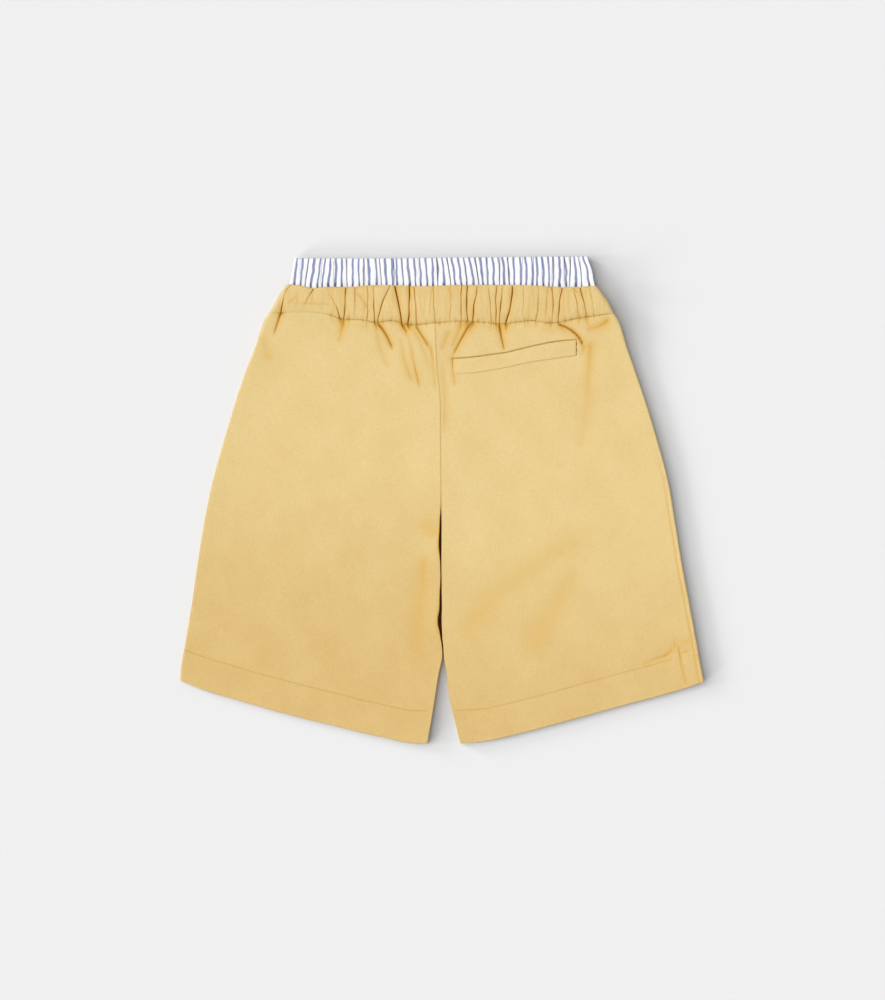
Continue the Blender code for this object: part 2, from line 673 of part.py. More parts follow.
def build():
    for old in list(bpy.data.objects):
        bpy.data.objects.remove(old)
    shorts = bpy.data.collections.new("cotton_shorts")
    bpy.context.scene.collection.children.link(shorts)

    twill = (0.79, 0.57, 0.25)
    stripe = (0.62, 0.67, 0.83)
    for leg in ("left", "right"):
        add_cloth(f"back_{leg}", panel_points(leg, True), CLOTH_WALL,
                  finish(f"back_{leg}_twill", twill, 0.85), shorts, True)
        add_cloth(f"front_{leg}", panel_points(leg, False), CLOTH_WALL,
                  finish(f"front_{leg}_twill", twill, 0.85), shorts, False)
    add_cloth("waistband_back", casing_points(True), CLOTH_WALL,
              finish("waistband_back_twill", twill, 0.85), shorts, True)
    add_cloth("waistband_front", casing_points(False), CLOTH_WALL,
              finish("waistband_front_twill", twill, 0.85), shorts, False)
    add_cloth("striped_band_back", band_points(True), BAND_WALL,
              finish("striped_band_back_cotton", stripe, 0.8), shorts, True)
    add_cloth("striped_band_front", band_points(False), BAND_WALL,
              finish("striped_band_front_cotton", stripe, 0.8), shorts, False)
    add_cloth("pocket_welt", welt_points(), WELT_WALL,
              finish("pocket_welt_twill", twill, 0.85), shorts, True)


build()
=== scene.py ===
"""Looks of a child's cotton pull-on shorts, laid flat with the back up.

Sizes and tables are in millimetres, in the frame's axes: X across, Y from the hems to the waist,
Z up. Each cloth is a thin shell on its solid's form, with the solid's folds at a finer grain.
"""

import bpy
import numpy as np
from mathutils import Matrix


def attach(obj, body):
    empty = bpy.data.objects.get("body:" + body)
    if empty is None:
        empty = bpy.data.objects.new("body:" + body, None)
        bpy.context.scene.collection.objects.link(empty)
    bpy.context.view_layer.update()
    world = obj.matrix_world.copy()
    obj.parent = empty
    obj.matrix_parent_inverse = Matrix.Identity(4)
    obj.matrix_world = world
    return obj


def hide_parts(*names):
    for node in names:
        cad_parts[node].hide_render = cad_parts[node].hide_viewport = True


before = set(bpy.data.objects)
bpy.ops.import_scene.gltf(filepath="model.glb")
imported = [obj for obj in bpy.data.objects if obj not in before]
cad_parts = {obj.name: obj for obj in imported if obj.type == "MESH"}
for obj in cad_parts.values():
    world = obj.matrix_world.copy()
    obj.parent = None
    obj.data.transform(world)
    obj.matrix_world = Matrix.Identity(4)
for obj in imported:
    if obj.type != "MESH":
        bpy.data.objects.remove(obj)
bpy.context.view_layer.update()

MM = 0.001

# ---- Cloth and seams
TWILL_WALL = 0.8
CASING_WALL = 0.5
BAND_WALL = 0.4
WELT_WALL = 0.5
SEAM_GAP = 0.12
LIP = 0.3  # upright stretch of a wall beside a seam
EDGE_TURNS = (0, 14, 28, 42, 56, 68, 80, 90)  # degrees round a turned edge, from its rim to the flat

# ---- Heights over the surface the shorts lie on
BODY_HEIGHT = 2.9  # back cloth where it lies on the front
STITCH_HEIGHT = 6.7  # back cloth at the stitching under the casing
CASING_HEIGHT = 8.8  # gathered casing round its elastic
WAIST_FALL = 24.0  # how far below the stitching the raised cloth settles
LEAST_HEIGHT = 1.9  # the back's lowest, clear of the front
EDGE_SWELL = 0.8  # the cloth springs up beside a fold or seam
SWELL_REACH = 12.0
BODY_SEAM_HEIGHT = 1.8  # side seam and inseam, half way up the edge
CASING_SEAM_HEIGHT = 3.5

# ---- Turned edges and grooves
BODY_EDGE = 1.6
CASING_EDGE = 3.4
BAND_EDGE = 1.3
SEAM_EDGE = 0.5  # the cloth beside the centre seam turns down over this width
SEAM_GROOVE = 0.5
FRONT_SEAM_GROOVE = 1.2
STITCH_GAP = 0.03  # between the casing and the panels, held together by the stitching
STITCH_GROOVE = 0.4
FAINT_STITCHING = 0.3  # share of the groove's depth where the cloth isn't gathered
FRONT_STITCH_GROOVE = 0.5
STITCH_REACH = 0.6
CASING_SHOULDER = 9.0  # the casing swells to its height over this width
CASING_ROLL_WIDTH = 2.2  # the casing's fold turns down to the band over this width
CLEAR_OF_BAND = 0.15

# ---- Hems
HEM_DEPTH = 25.0
HEM_STEP = 0.3  # doubled cloth stands higher
HEM_STEP_WIDTH = 2.0
HEM_GROOVE = 0.3
HEM_GROOVE_WIDTH = 0.6
HEM_ROLL = 0.6  # the turned-up edge rounds down by this much
HEM_ROLL_WIDTH = 1.1

# ---- Waist
SIDE_TOP = 141.5  # where the side seam meets the casing's stitching
CASING_TOP = 161.7
TOP_DIP = 0.9  # how far each gather pulls the casing's fold down
CROTCH = -4.0
CROTCH_BLEND = 22.0
FRONT_STITCHING = 135.5  # the front's stitching at its middle
SEAM_CLEAR = 3.0  # creases die out this near to the centre seam
MERGING = 3.0  # creases that meet join into the deeper one, and don't add up
ROUNDING = 0.35  # share of a crease's width that is rounded at its bottom
TAIL_SPREAD = 9.0  # a gather widens to double over this distance below the casing
FRONT_SHARE = 0.5  # depth of a gather on the front, which lies pressed flat
FRONT_SHIFT = 3.0
FRONT_TAIL = 7.0
FRONT_TUCK = 0.7  # the front's inseam lies at most this much lower

# ---- How sharp the folds are: a narrow crease in the bottom of a soft trough
SHARP_WIDTH = 0.11
BODY_SHARP_WIDTH = 0.19
SOFT_WIDTH = 1.1
SHARP_SHARE = 0.8
STREAK_SHARP = 0.5
STREAK_SHARP_WIDTH = 0.3
GATHER_DEPTH = 1.5  # the solids' gathers, sunk deeper
TAIL_DEPTH = 0.9  # and softer below the stitching
TAIL_SHARP = 0.3

# ---- Inner striped band
BAND_HIDDEN = 154.0  # lower end, inside the casing
BAND_MOUTH = 161.0
BAND_SEAM_HALF = 1.6  # half the band's thickness at its folded ends
BAND_ROLL_WIDTH = 1.4
PRESSED_DEPTH = 0.45  # share of a fold's depth left inside the casing
BAND_DEPTH = 1.5
STRIPE_PITCH = 4.7
STRIPE_WIDTH = 1.55
STRIPE_SHIFT = 0.9


def table(columns, rows):
    """A table's columns by name."""
    return dict(zip(columns.split(), np.array(rows, dtype=float).T))


# The outline's side edges, a row for each section across the garment.
SIDES = table("y left right", [
    (-138.5, -199, 198.8), (-130, -198.6, 197), (-106, -194.8, 192.6), (-76, -189.9, 187),
    (-45, -185.5, 181.2), (-15, -180.6, 176.4), (15, -174.4, 171.2), (45, -166, 163.2), (75, -157, 154),
    (99, -149, 145.9), (118, -141.4, 139.3), (130, -137.4, 135.8), (137, -135, 133),
    (141.5, -131.6, 130), (150, -126.3, 125.5), (157, -122.3, 120.4), (163, -117, 115.9),
])

# The centre seam down to the crotch, then the slit between the legs. The front closes it from below.
MIDDLE = table("y x gap front_gap", [
    (-186, 1.2, 25.6, 25.6), (-167, 0.4, 17.5, 17.5), (-152, -0.2, 11.4, 11.4), (-129, 0.3, 5, 5),
    (-118, 0.5, 0.7, 0.4), (-112, 0.2, 0.9, 0.1), (-106, -0.6, 1.1, 0.1), (-99, -1.3, 1.9, 0.1),
    (-92.5, -2.2, 3, 0.1), (-84, -1.4, 1.9, 0.1), (-72, -1.3, 1.4, 0.1), (-58, -1.1, 0.7, 0.1),
    (-46, -1.3, 0.9, 0.1), (-35, -1.7, 1.9, 0.1), (-24, -1.5, 1.5, 0.1), (-14, -1.3, 1.1, 0.1),
    (-4, -1.1, 0.2, 0.1), (4, -1.1, 0.12, 0.12), (45, -1.6, 0.12, 0.12), (83, -2.2, 0.12, 0.12),
    (96, -3.8, 0.12, 0.12), (135, -5.5, 0.12, 0.12),
])

# Stitching that holds the casing, across the back.
STITCHING = table("x y", [
    (-131.6, 141.5), (-117, 142.3), (-97, 141.9), (-85, 140), (-75, 137.2), (-62, 136.6), (-50, 134.6),
    (-37, 135.8), (-28, 133.4), (-6, 134), (12, 135.5), (48, 133.8), (70, 135.8), (80, 134.2),
    (103, 137.6), (116, 139.6), (130, 141.5),
])

HEMS = {
    "left": table("x y", [
        (-199, -137.2), (-181, -144.2), (-157, -151.4), (-120, -162), (-84, -171), (-46, -180),
        (-24, -184.5), (-11.4, -185),
    ]),
    "right": table("x y", [
        (13.8, -184.6), (26, -184), (62, -176.4), (98, -166.8), (135, -156.6), (172, -146.6),
        (188, -141.8), (198.8, -137.8),
    ]),
}

# How far the casing's fold stands over its plain height.
WAIST_EDGE = table("x rise", [
    (-117, 1.3), (-111, 1.3), (-105, 0.3), (-98, -1.1), (-91, -0.4), (-70, -0.1), (-56, 1), (-32, 1.1),
    (-20, 0.4), (-8, 0.5), (12, 1.2), (34, 1.3), (66, 1.1), (84, 0), (104, -0.1), (114, 0.6),
])

# Gathers of the back casing: x at the fold and at the stitching, sideways bow between them,
# depth at each end, width, and how far and how slanted each runs on below the stitching.
GATHERS = table("top stitch bow top_depth stitch_depth width run lean", [
    (-116.8, -122.2, -0.6, 0.1, 2.1, 1.7, 3, -0.33),
    (-97.4, -107, 0, 1.2, 0.1, 1.8, 4, 0),
    (-89.7, -77.3, 1.6, 0.1, 1.6, 1.8, 4, 0),
    (-73.4, -74.8, 0.6, 1.4, 1.5, 1.6, 10, -0.15),
    (-66.1, -66.5, 0, 1, 0.1, 1.6, 4, 0),
    (-56.7, -56.9, 0.4, 0.9, 0.7, 1.7, 6, 0),
    (-51.4, -51, -0.6, 0.7, 1.7, 1.6, 5, 0.3),
    (-38.8, -48.7, -1.9, 1.1, 1.2, 1.6, 5, 0.3),
    (-36.2, -31, 0.4, 2.4, 2, 1.8, 7, 0.5),
    (-24.9, -26.1, 0.3, 2.1, 2.2, 1.9, 3.5, 0.3),
    (-21.6, -19.6, 0.3, 0.8, 1, 1.6, 8, 0.5),
    (-7.2, -5.5, 0, 0.8, 0.6, 1.4, 0.5, 0),
    (5.4, 5.8, 0.8, 0.5, 0.3, 1.7, 5, 0),
    (14.7, 14.1, 0, 1, 1, 1.7, 7, -0.3),
    (18.5, 18.7, 0, 1.8, 1.4, 1.7, 6, -0.2),
    (26.8, 23.3, -0.6, 0.6, 1.9, 1.8, 7, -0.4),
    (34.5, 36.9, 0.6, 0.6, 0.7, 1.7, 5, 0),
    (41.2, 40.4, -0.3, 0.9, 1.3, 1.6, 5, 0.2),
    (45.6, 43, 0, 0.5, 1.4, 1.6, 8, 0.1),
    (53.2, 48.3, 0.7, 1.9, 1.9, 1.8, 5, 0),
    (61.6, 61.4, 0, 0.4, 0.3, 1.7, 4, 0),
    (72.9, 70.9, 0.6, 0.6, 0.8, 1.8, 5, 0),
    (79.2, 78.2, 0.4, 0.5, 0.6, 1.6, 4, 0),
    (82.7, 82.3, 1.3, 1.4, 1, 1.6, 5, 0),
    (90.8, 87.9, -1, 1.3, 1.2, 1.7, 8, 0.6),
    (98.6, 102.9, 0.8, 1.1, 0.6, 1.7, 5, 0.2),
    (103.9, 109, 0.6, 1.9, 0.9, 1.8, 7, 0.3),
    (110.4, 115, 0.6, 0.6, 0.4, 1.7, 5, 0),
])

# Creases of the back panels, each from the waist side down: ends, middle, depth at the ends,
# width, and how much of the depth is a narrow crease.
CREASES = table("x0 y0 xm ym x1 y1 depth0 depth1 width sharp", [
    (-122.6, 141.4, -125, 134, -128.4, 123, 1.9, 0.8, 1.8, 0.65),
    (-75.8, 137, -76.6, 128, -79.4, 118, 0.8, 0.4, 2.4, 0.35),
    (-72, 134.8, -64, 132.4, -56, 131.4, 0.2, 0.3, 2.2, 0.2),
    (-48.6, 133.3, -42.4, 124.6, -36.9, 112, 2.1, 1.5, 2.1, 0.7),
    (-49.4, 127, -46, 112.6, -38.6, 97, 0.4, 0.3, 2.8, 0.25),
    (-31.2, 122, -28.2, 104.6, -21.2, 87.4, 0.3, 0.7, 2.6, 0.35),
    (-24.6, 121, -21.4, 103.6, -16.3, 82, 0.3, 1, 2.2, 0.5),
    (-30.4, 132.2, -28.4, 129.8, -26.2, 126.4, 2, 0.9, 2, 0.7),
    (-25.2, 131.2, -16.2, 118.6, -9.8, 97, 0.6, 0.4, 2.2, 0.5),
    (-20.5, 132.3, -15.2, 124.1, -8.6, 114, 1.4, 1.3, 2, 0.65),
    (-8.9, 115.4, -6, 101, -4.6, 80, 0.8, 0.8, 2.2, 0.5),
    (21, 133.5, 14.2, 121.6, 7, 107.6, 1.8, 1.1, 2.2, 0.65),
    (14.7, 133, 11, 124, 6.3, 114, 0.8, 0.4, 2.6, 0.3),
    (43, 134.9, 45, 122.4, 47.6, 111.8, 2.1, 0.8, 2.2, 0.65),
    (88.5, 133, 101, 126, 107.2, 115, 1.9, 2.2, 2.2, 0.75),
    (107.2, 116.5, 106.6, 113, 103.6, 108.5, 0.9, 0.2, 2.4, 0.4),
    (91, 130, 81, 129, 72, 131.5, 0.3, 0.2, 3, 0.2),
    (112, 117, 111.2, 98, 108, 72, 0.7, 0.3, 3, 0.2),
    (111, 84, 108, 60, 102, 34, 0.3, 0.2, 5, 0.1),
    (124.4, 135.5, 117, 131, 106, 129.2, 0.9, 0.4, 3, 0.25),
    (4.9, 126.5, 2, 120, -1, 112, 0.6, 0.4, 2.6, 0.3),
    (7.6, 107.5, 8.6, 97, 10, 84, 1, 0.4, 2.4, 0.45),
    (0.4, 100, 1.4, 78, 1.8, 46, 0.3, 0.4, 2.6, 0.1),
    (-135.5, 121, -133, 113, -130.5, 104, 0.3, 0.4, 4, 0.1),
    (19, -96, 62, -56, 131, -13, 0.3, 0.2, 9, 0),
    (69.6, -107, 88, -76, 103.4, -41, 0.3, 0.2, 9, 0),
    (-14, -52, -17, -84, -20.5, -140, 0.35, 0.25, 6, 0),
    (-12.6, -20.1, -7, -23, -2.6, -27, 0.4, 0.4, 4, 0),
    (-14.2, -48, -14.8, -57, -14, -66, 0.5, 0.3, 3, 0.15),
    (179.4, -112.6, 182, -126, 186.6, -143, 0.9, 0.7, 1.8, 0.75),
    (179.4, -112.6, 182.8, -109.2, 192, -107, 0.8, 0.8, 1.8, 0.75),
    (180.4, -115.6, 183.6, -115.6, 188.4, -113.2, 0.6, 0.6, 1.8, 0.7),
    (177.2, -107.4, 173.4, -115, 165, -120, 0.7, 0.9, 2, 0.65),
    (169, -118, 160.6, -121, 149.5, -125.4, 0.8, 0.4, 2, 0.6),
])

# Short creases on the casing between its gathers, and the turned-in edge that shows through.
CRINKLES = table("x0 y0 xm ym x1 y1 depth0 depth1 width sharp", [
    (-109.8, 155, -113, 151.6, -117.6, 148.8, 0.5, 0.5, 1.6, 0.6),
    (-85, 148, -100, 149.2, -117, 148.8, 0.5, 0.5, 1.6, 0.6),
    (-64.4, 156.4, -59.2, 150.4, -57, 144, 0.7, 0.9, 1.6, 0.65),
    (3.6, 160.4, 6.6, 156, 8.2, 150.6, 0.5, 0.4, 1.8, 0.4),
    (99.2, 160.2, 101, 158.2, 103.4, 156.2, 1, 0.6, 1.6, 0.6),
    (121, 155.4, 122.6, 150, 123, 144.6, 0.5, 0.3, 1.8, 0.5),
])

# The pocket's welt on the right back.
WELT = table("x top bottom", [
    (8, 107, 96.2), (22, 108, 96.6), (37, 110, 98.6), (47, 111.3, 100.4), (64, 115.3, 104.2),
    (81.5, 119.1, 106.9), (93, 120.6, 108.6), (101.3, 121.2, 109.7),
])
WELT_RISE = 0.45  # the welt's face over the panel
WELT_ROUND = 0.5  # its edges turn down over this width
WELT_START = 9.0  # its left end rises out of the panel over this width
WELT_START_SHARE = 0.15
WELT_FOLD_SHARE = 0.35  # the panel's creases press through its doubled cloth
MOUTH_GROOVE = 1.6
MOUTH_WIDTH = 0.35
DITCH_GROOVE = 0.5
DITCH_WIDTH = 0.3
MOUTH_START = 4.0  # the grooves begin over this width
MOUTH_END = 0.7
END_FADE = 0.6  # the closed end's groove fades at the mouth and the ditch
END_CLEAR = 0.3  # from the welt's end to that groove

# The right side seam, rolled inward: a groove beside the edge.
ROLL_GROOVE = 0.55
ROLL_INSET = 3.4
ROLL_WIDTH = 0.5
ROLL_START = 70.0

# The striped band's ends, its middle height and half its thickness, up from inside the casing.
BAND_SIDES = table("y left right middle half", [
    (154, -116.2, 116, 3.9, 1.35), (162.5, -116.2, 115.9, 3.8, 1.4), (167, -115.6, 115.1, 3.3, 1.9),
    (175, -114.2, 113.6, 2.6, 1.9), (185.2, -112.4, 110.2, 2, 1.6),
])
BAND_TOP = table("x y", [(-112.5, 183.6), (-60, 183.4), (0, 184), (60, 184.6), (110.2, 185)])
BAND_FOLDS = table("top bottom depth width", [
    (-107.5, -108.3, 0.4, 1.5), (-101.6, -104.6, 0.7, 1.6), (-91, -93, 0.6, 1.6),
    (-82, -83.4, 0.6, 1.5), (-73, -71.8, 0.9, 1.5), (-59.4, -58.2, 0.7, 1.5), (-47.9, -45.2, 1, 1.6),
    (-37, -36.2, 1.1, 1.5), (-30.6, -28.6, 0.5, 1.6), (-18.6, -16.4, 0.4, 1.6), (-4.3, -3, 1.2, 1.5),
    (3.6, 8, 1, 1.5), (16.6, 19.6, 0.5, 1.6), (24.8, 29.2, 1.4, 1.5), (33.2, 34.4, 0.6, 1.5),
    (43.6, 43.4, 1, 1.5), (49.6, 51, 1.2, 1.5), (61, 60, 0.6, 1.6), (69, 69.4, 0.9, 1.5),
    (75.4, 76.2, 0.5, 1.5), (84, 82.4, 0.7, 1.5), (92.4, 92.8, 0.9, 1.5), (97.4, 96, 1.2, 1.4),
    (104.2, 106.8, 0.7, 1.5),
])

# ---- Mesh rows and columns
CASING_COLUMNS = 820
PANEL_COLUMNS = 230
FRONT_COLUMNS = 100
FRONT_CASING_COLUMNS = 260
BAND_COLUMNS = 760
FRONT_BAND_COLUMNS = 300
CROWDING = 3.0  # columns stand closer together at a fold
CROWD_REACH = 1.1
WELT_COLUMNS = 150

# Row spacing: distance along the piece, and the step there.
PANEL_ROWS = table("at step", [
    (0, 0.4), (4, 0.6), (52, 0.7), (95, 2), (200, 5.5), (286, 5), (291, 0.7), (295, 0.5),
])
HEM_ROWS = table("at step", [(0, 0.5), (3, 0.8), (8, 4), (20, 4), (23, 0.6), (25, 0.18)])
FRONT_ROWS = table("at step", [(0, 0.8), (12, 1.2), (60, 5), (286, 6), (295, 1)])
CASING_ROWS = table("at step", [(0, 0.3), (4, 0.55), (15, 0.6), (18, 0.3), (20.2, 0.16)])
FRONT_CASING_ROWS = table("at step", [(0, 0.6), (20.2, 0.6)])
BAND_ROWS = table("at step", [(0, 1.6), (7, 0.8), (26, 0.9), (28.5, 0.3), (31.2, 0.14)])
WELT_ROWS = table("at step", [(0, 0.16), (1.4, 0.5), (5.6, 1), (9.8, 0.5), (11.2, 0.16)])


# ---- Reading the tables


def rows_of(columns):
    """A table's rows, each by column name."""
    return [dict(zip(columns, values)) for values in zip(*columns.values())]


def read(columns, name, at):
    """One column as a smooth curve over the table's first column, level past its ends."""
    stations = next(iter(columns.values()))
    values = columns[name]
    slopes = np.gradient(values, stations)
    at = np.clip(at, stations[0], stations[-1])
    i = np.clip(np.searchsorted(stations, at, side="right") - 1, 0, len(stations) - 2)
    step = stations[i + 1] - stations[i]
    t = (at - stations[i]) / step
    level = t * t * (3 - 2 * t)
    leave = t * (1 - t) ** 2 * step * slopes[i]
    arrive = t * t * (t - 1) * step * slopes[i + 1]
    return values[i] * (1 - level) + values[i + 1] * level + leave + arrive


def blend(a, b, t):
    return a + (b - a) * t


def ease(t):
    t = np.clip(t, 0, 1)
    return t * t * (3 - 2 * t)


def round_down(share):
    """How far a rounded edge has turned down: 0 at its inner end, 1 at its rim."""
    return 1 - np.sqrt(1 - np.clip(share, 0, 1) ** 2)


def side_x(leg, y):
    return read(SIDES, leg, y)


def inner_x(leg, y, back=True):
    """A leg panel's edge at the centre seam, and at the inseam below the crotch."""
    towards_leg = -1 if leg == "left" else 1
    gap = read(MIDDLE, "gap" if back else "front_gap", y)
    return read(MIDDLE, "x", y) + towards_leg * gap / 2


def stitch_y(x, back=True):
    """The casing's stitching: wavy on the gathered back, a plain arc on the front."""
    if back:
        return read(STITCHING, "y", x)
    return blend(FRONT_STITCHING, SIDE_TOP, (x / STITCHING["x"][-1]) ** 2)


def hem_y(leg, x):
    return read(HEMS[leg], "y", x)


# ---- Small unevenness of the cloth

WAVES = 7
# Each kind of unevenness: height of its waves, their length, and the seed of their draw.
RIPPLES = {
    "cloth": (0.12, 46.0, 1),
    "cloth_fine": (0.05, 15.0, 2),
    "casing": (0.2, 9.0, 3),
    "casing_fine": (0.08, 4.0, 4),
    "hem": (0.11, 4.0, 5),
    "band": (0.12, 7.0, 6),
    "gather_place": (0.35, 13.0, 8),
    "gather_depth": (0.4, 15.0, 9),
    "stitch_groove": (0.6, 6.0, 11),
    "hem_thread": (0.1, 12.0, 12),
}


def ripple(x, y, kind):
    """Soft uneven waves, mostly within their height."""
    height, length, seed = RIPPLES[kind]
    draw = np.random.default_rng(seed)
    total = np.zeros(np.broadcast(x, y).shape)
    for _ in range(WAVES):
        angle = draw.uniform(0, 2 * np.pi)
        pace = 2 * np.pi / length * draw.uniform(0.6, 1.5)
        phase = draw.uniform(0, 2 * np.pi)
        total += np.sin(pace * (x * np.cos(angle) + y * np.sin(angle)) + phase)
    return height * (total / WAVES ** 0.5 / 1.5)


def scattered(seed, first, last, gap, *ranges):
    """Rows at uneven places from first to last: the place, then a draw from each range."""
    draw = np.random.default_rng(seed)
    rows = []
    x = first
    while x < last:
        rows.append([x] + [draw.uniform(*limits) for limits in ranges])
        x += draw.uniform(*gap)
    return rows


# ---- Folds

TAPER = 0.22  # a crease dies out over this share of its length
CREASE_RUNS = 12  # straight runs that make up a crease's curve
PLACE_APART = 19  # each gather reads its unevenness at a place of its own
DEPTH_APART = 23


def valley(distance, width):
    """A crease's section: sharp at the bottom, with soft shoulders."""
    rounding = ROUNDING * width
    return np.exp((rounding - np.hypot(distance, rounding)) / width)


def fold(distance, width, sharp=SHARP_SHARE, narrow=SHARP_WIDTH):
    """A narrow crease in the bottom of a soft trough."""
    return blend(valley(distance, SOFT_WIDTH * width), valley(distance, narrow * width), sharp)


def merged(depths):
    """Depth where several folds meet."""
    return sum(depth ** MERGING for depth in depths) ** (1 / MERGING)


def crease_depth(x, y, row):
    """Depth of one crease at each point, from the nearest point of its curve."""
    steps = np.linspace(0, 1, CREASE_RUNS + 1)

    def curve(axis):
        start, middle, end = (row[axis + mark] for mark in "0m1")
        pull = 2 * middle - (start + end) / 2
        return (1 - steps) ** 2 * start + 2 * steps * (1 - steps) * pull + steps ** 2 * end

    line_x, line_y = curve("x"), curve("y")
    nearest = np.full(np.shape(x), np.inf)
    along = np.zeros(np.shape(x))
    for i in range(CREASE_RUNS):
        run_x = line_x[i + 1] - line_x[i]
        run_y = line_y[i + 1] - line_y[i]
        part = ((x - line_x[i]) * run_x + (y - line_y[i]) * run_y) / (run_x ** 2 + run_y ** 2)
        part = np.clip(part, 0, 1)
        distance = np.hypot(x - line_x[i] - part * run_x, y - line_y[i] - part * run_y)
        along = np.where(distance < nearest, blend(steps[i], steps[i + 1], part), along)
        nearest = np.minimum(nearest, distance)
    depth = blend(row["depth0"], row["depth1"], along) * ease((1 - along) / TAPER)
    return depth * fold(nearest, row["width"], row["sharp"], BODY_SHARP_WIDTH)


def crease_depths(x, y, creases):
    return [crease_depth(x, y, row) for row in rows_of(creases)]


def front_gathers():
    """The front's gathers: every second one of the back's, seen from the other side."""
    mirrored = {name: column[::-2] for name, column in GATHERS.items()}
    for name in ("top", "stitch", "bow", "lean"):
        mirrored[name] = -mirrored[name]
    for name in ("top", "stitch"):
        mirrored[name] = mirrored[name] + FRONT_SHIFT
    for name in ("top_depth", "stitch_depth"):
        mirrored[name] = mirrored[name] * FRONT_SHARE
    mirrored["run"] = np.full(len(mirrored["run"]), FRONT_TAIL)
    return mirrored


FRONT_GATHERS = front_gathers()


def tail_depths(x, below, gathers):
    """Depths of the gathers that run on into the body, at a distance below the stitching."""
    depths = []
    for row in rows_of(gathers):
        spread = row["width"] * (1 + below / TAIL_SPREAD)
        centre = row["stitch"] + row["lean"] * below
        size = TAIL_DEPTH * row["stitch_depth"] * np.exp(-((below / row["run"]) ** 1.5))
        depths.append(size * fold(x - centre, spread, TAIL_SHARP, BODY_SHARP_WIDTH))
    return depths


def bowed(bow, level):
    """Sideways bow of a line, most at its middle."""
    return bow * 4 * level * (1 - level)


def casing_depth(x, level, gathers):
    """Depth of the casing's gathers, level 0 at the stitching and 1 at the fold."""
    up = blend(0, CASING_TOP - SIDE_TOP, level)
    depths = []
    for row in rows_of(gathers):
        centre = blend(row["stitch"], row["top"], level) + bowed(row["bow"], level)
        centre = centre + ripple(PLACE_APART * row["stitch"], up, "gather_place")
        size = GATHER_DEPTH * blend(row["stitch_depth"], row["top_depth"], level)
        size = size * np.clip(0.85 + ripple(DEPTH_APART * row["top"], up, "gather_depth"), 0.3, 1.3)
        depths.append(size * fold(x - centre, row["width"]))
    return merged(depths)


# Faint folds between the casing's gathers.
STREAK_REACH = 117.0
STREAKS = table("top lean top_depth stitch_depth width", scattered(
    21, -STREAK_REACH, STREAK_REACH, (2.2, 5.0), (-3.0, 3.0), (-0.15, 0.5), (-0.15, 0.5), (0.8, 2.0)))


def streak_depth(x, level):
    """Depth of the faint folds, each fading out at one end or both."""
    depths = []
    for row in rows_of(STREAKS):
        centre = blend(row["top"] + row["lean"], row["top"], level)
        size = np.maximum(blend(row["stitch_depth"], row["top_depth"], level), 0) * ease(3 * level)
        depths.append(size * fold(x - centre, row["width"], STREAK_SHARP, STREAK_SHARP_WIDTH))
    return merged(depths)


# Short tucks that the thread draws up on both sides of the casing's stitching.
PUCKER_FIRST = -84.0
PUCKER_LAST = 122.0
PUCKER_WIDTH = 1.0
PUCKERS = table("x depth run lean", scattered(
    7, PUCKER_FIRST, PUCKER_LAST, (2.0, 4.6), (0.2, 0.9), (1.2, 4.5), (-0.5, 0.5)))


def pucker_depth(x, away):
    """Depth of the tucks at a distance from the stitching."""
    depths = []
    for row in rows_of(PUCKERS):
        centre = row["x"] + row["lean"] * away
        depths.append(row["depth"] * np.exp(-away / row["run"]) * valley(x - centre, PUCKER_WIDTH))
    return merged(depths)


# ---- Stitching

GATHERING_FROM = -96.0  # the casing isn't gathered to the left of this
GATHERING_FULL = -74.0
STITCH_START = -128.1
STITCH_PITCH = 2.1  # from one stitch to the next
STITCH_SHOWN = 0.4  # share of each stitch that lies on top
SUNK_THREAD = 0.12
SHADE_AT_STITCHES = 1.8  # painted shade: the cloth is painted darker where a stitch pulls it in
HOLE_SHARE = 0.02  # the groove's depth between two stitches, as a share of theirs
HEM_STITCHED = {"left": (-195.0, -8.2), "right": (8.6, 176.0)}  # where the hem's stitching shows
HEM_STITCH_FADE = 3.0


def gathered(x):
    """Share of the full gathering: none at the waist's left end."""
    return ease((x - GATHERING_FROM) / (GATHERING_FULL - GATHERING_FROM))


def stitch_groove(x):
    """Depth of the groove along the stitching: faint where nothing is gathered, deep under a stitch."""
    holes = blend(HOLE_SHARE, 1.0, np.sin(np.pi * (x - STITCH_START) / STITCH_PITCH) ** 4)
    holes = holes * np.clip(0.65 + ripple(x, 0.0, "stitch_groove"), 0.2, 1.2)
    return STITCH_GROOVE * blend(FAINT_STITCHING, 1.0, gathered(x)) * holes


def hem_form(leg, x, y):
    """Distance past the hem's stitching, the groove it presses in, and how far the edge turns down."""
    over_hem = y - hem_y(leg, x) - HEM_DEPTH
    first, last = HEM_STITCHED[leg]
    shown = ease((x - first) / HEM_STITCH_FADE) * ease((last - x) / HEM_STITCH_FADE)
    groove = HEM_GROOVE * shown * valley(over_hem, HEM_GROOVE_WIDTH)
    roll = HEM_ROLL * round_down(1 - (over_hem + HEM_DEPTH) / HEM_ROLL_WIDTH)
    return over_hem, groove, roll


# ---- Heights

SETTLED = 8.0  # the body's own forms begin over this distance below the stitching
CREASE_START = 0.45  # share of a crease's depth right at the stitching
CREASE_START_REACH = 2.5
HEM_PUCKER_REACH = 3.0
SEAM_SHADE = 0.5  # painted shade beside the centre seam
SEAM_SHADE_REACH = 0.3
SLIT_SHADE = 1.6  # and painted shade where the slit between the legs opens
SLIT_SHADE_REACH = 0.9
FRONT_SLIT_SHADE = 4.0  # painted near-black shade on the front, where it shows in the slit
FRONT_SLIT_SHADE_REACH = 3.0
FRONT_SLIT_SHADE_START = 0.2


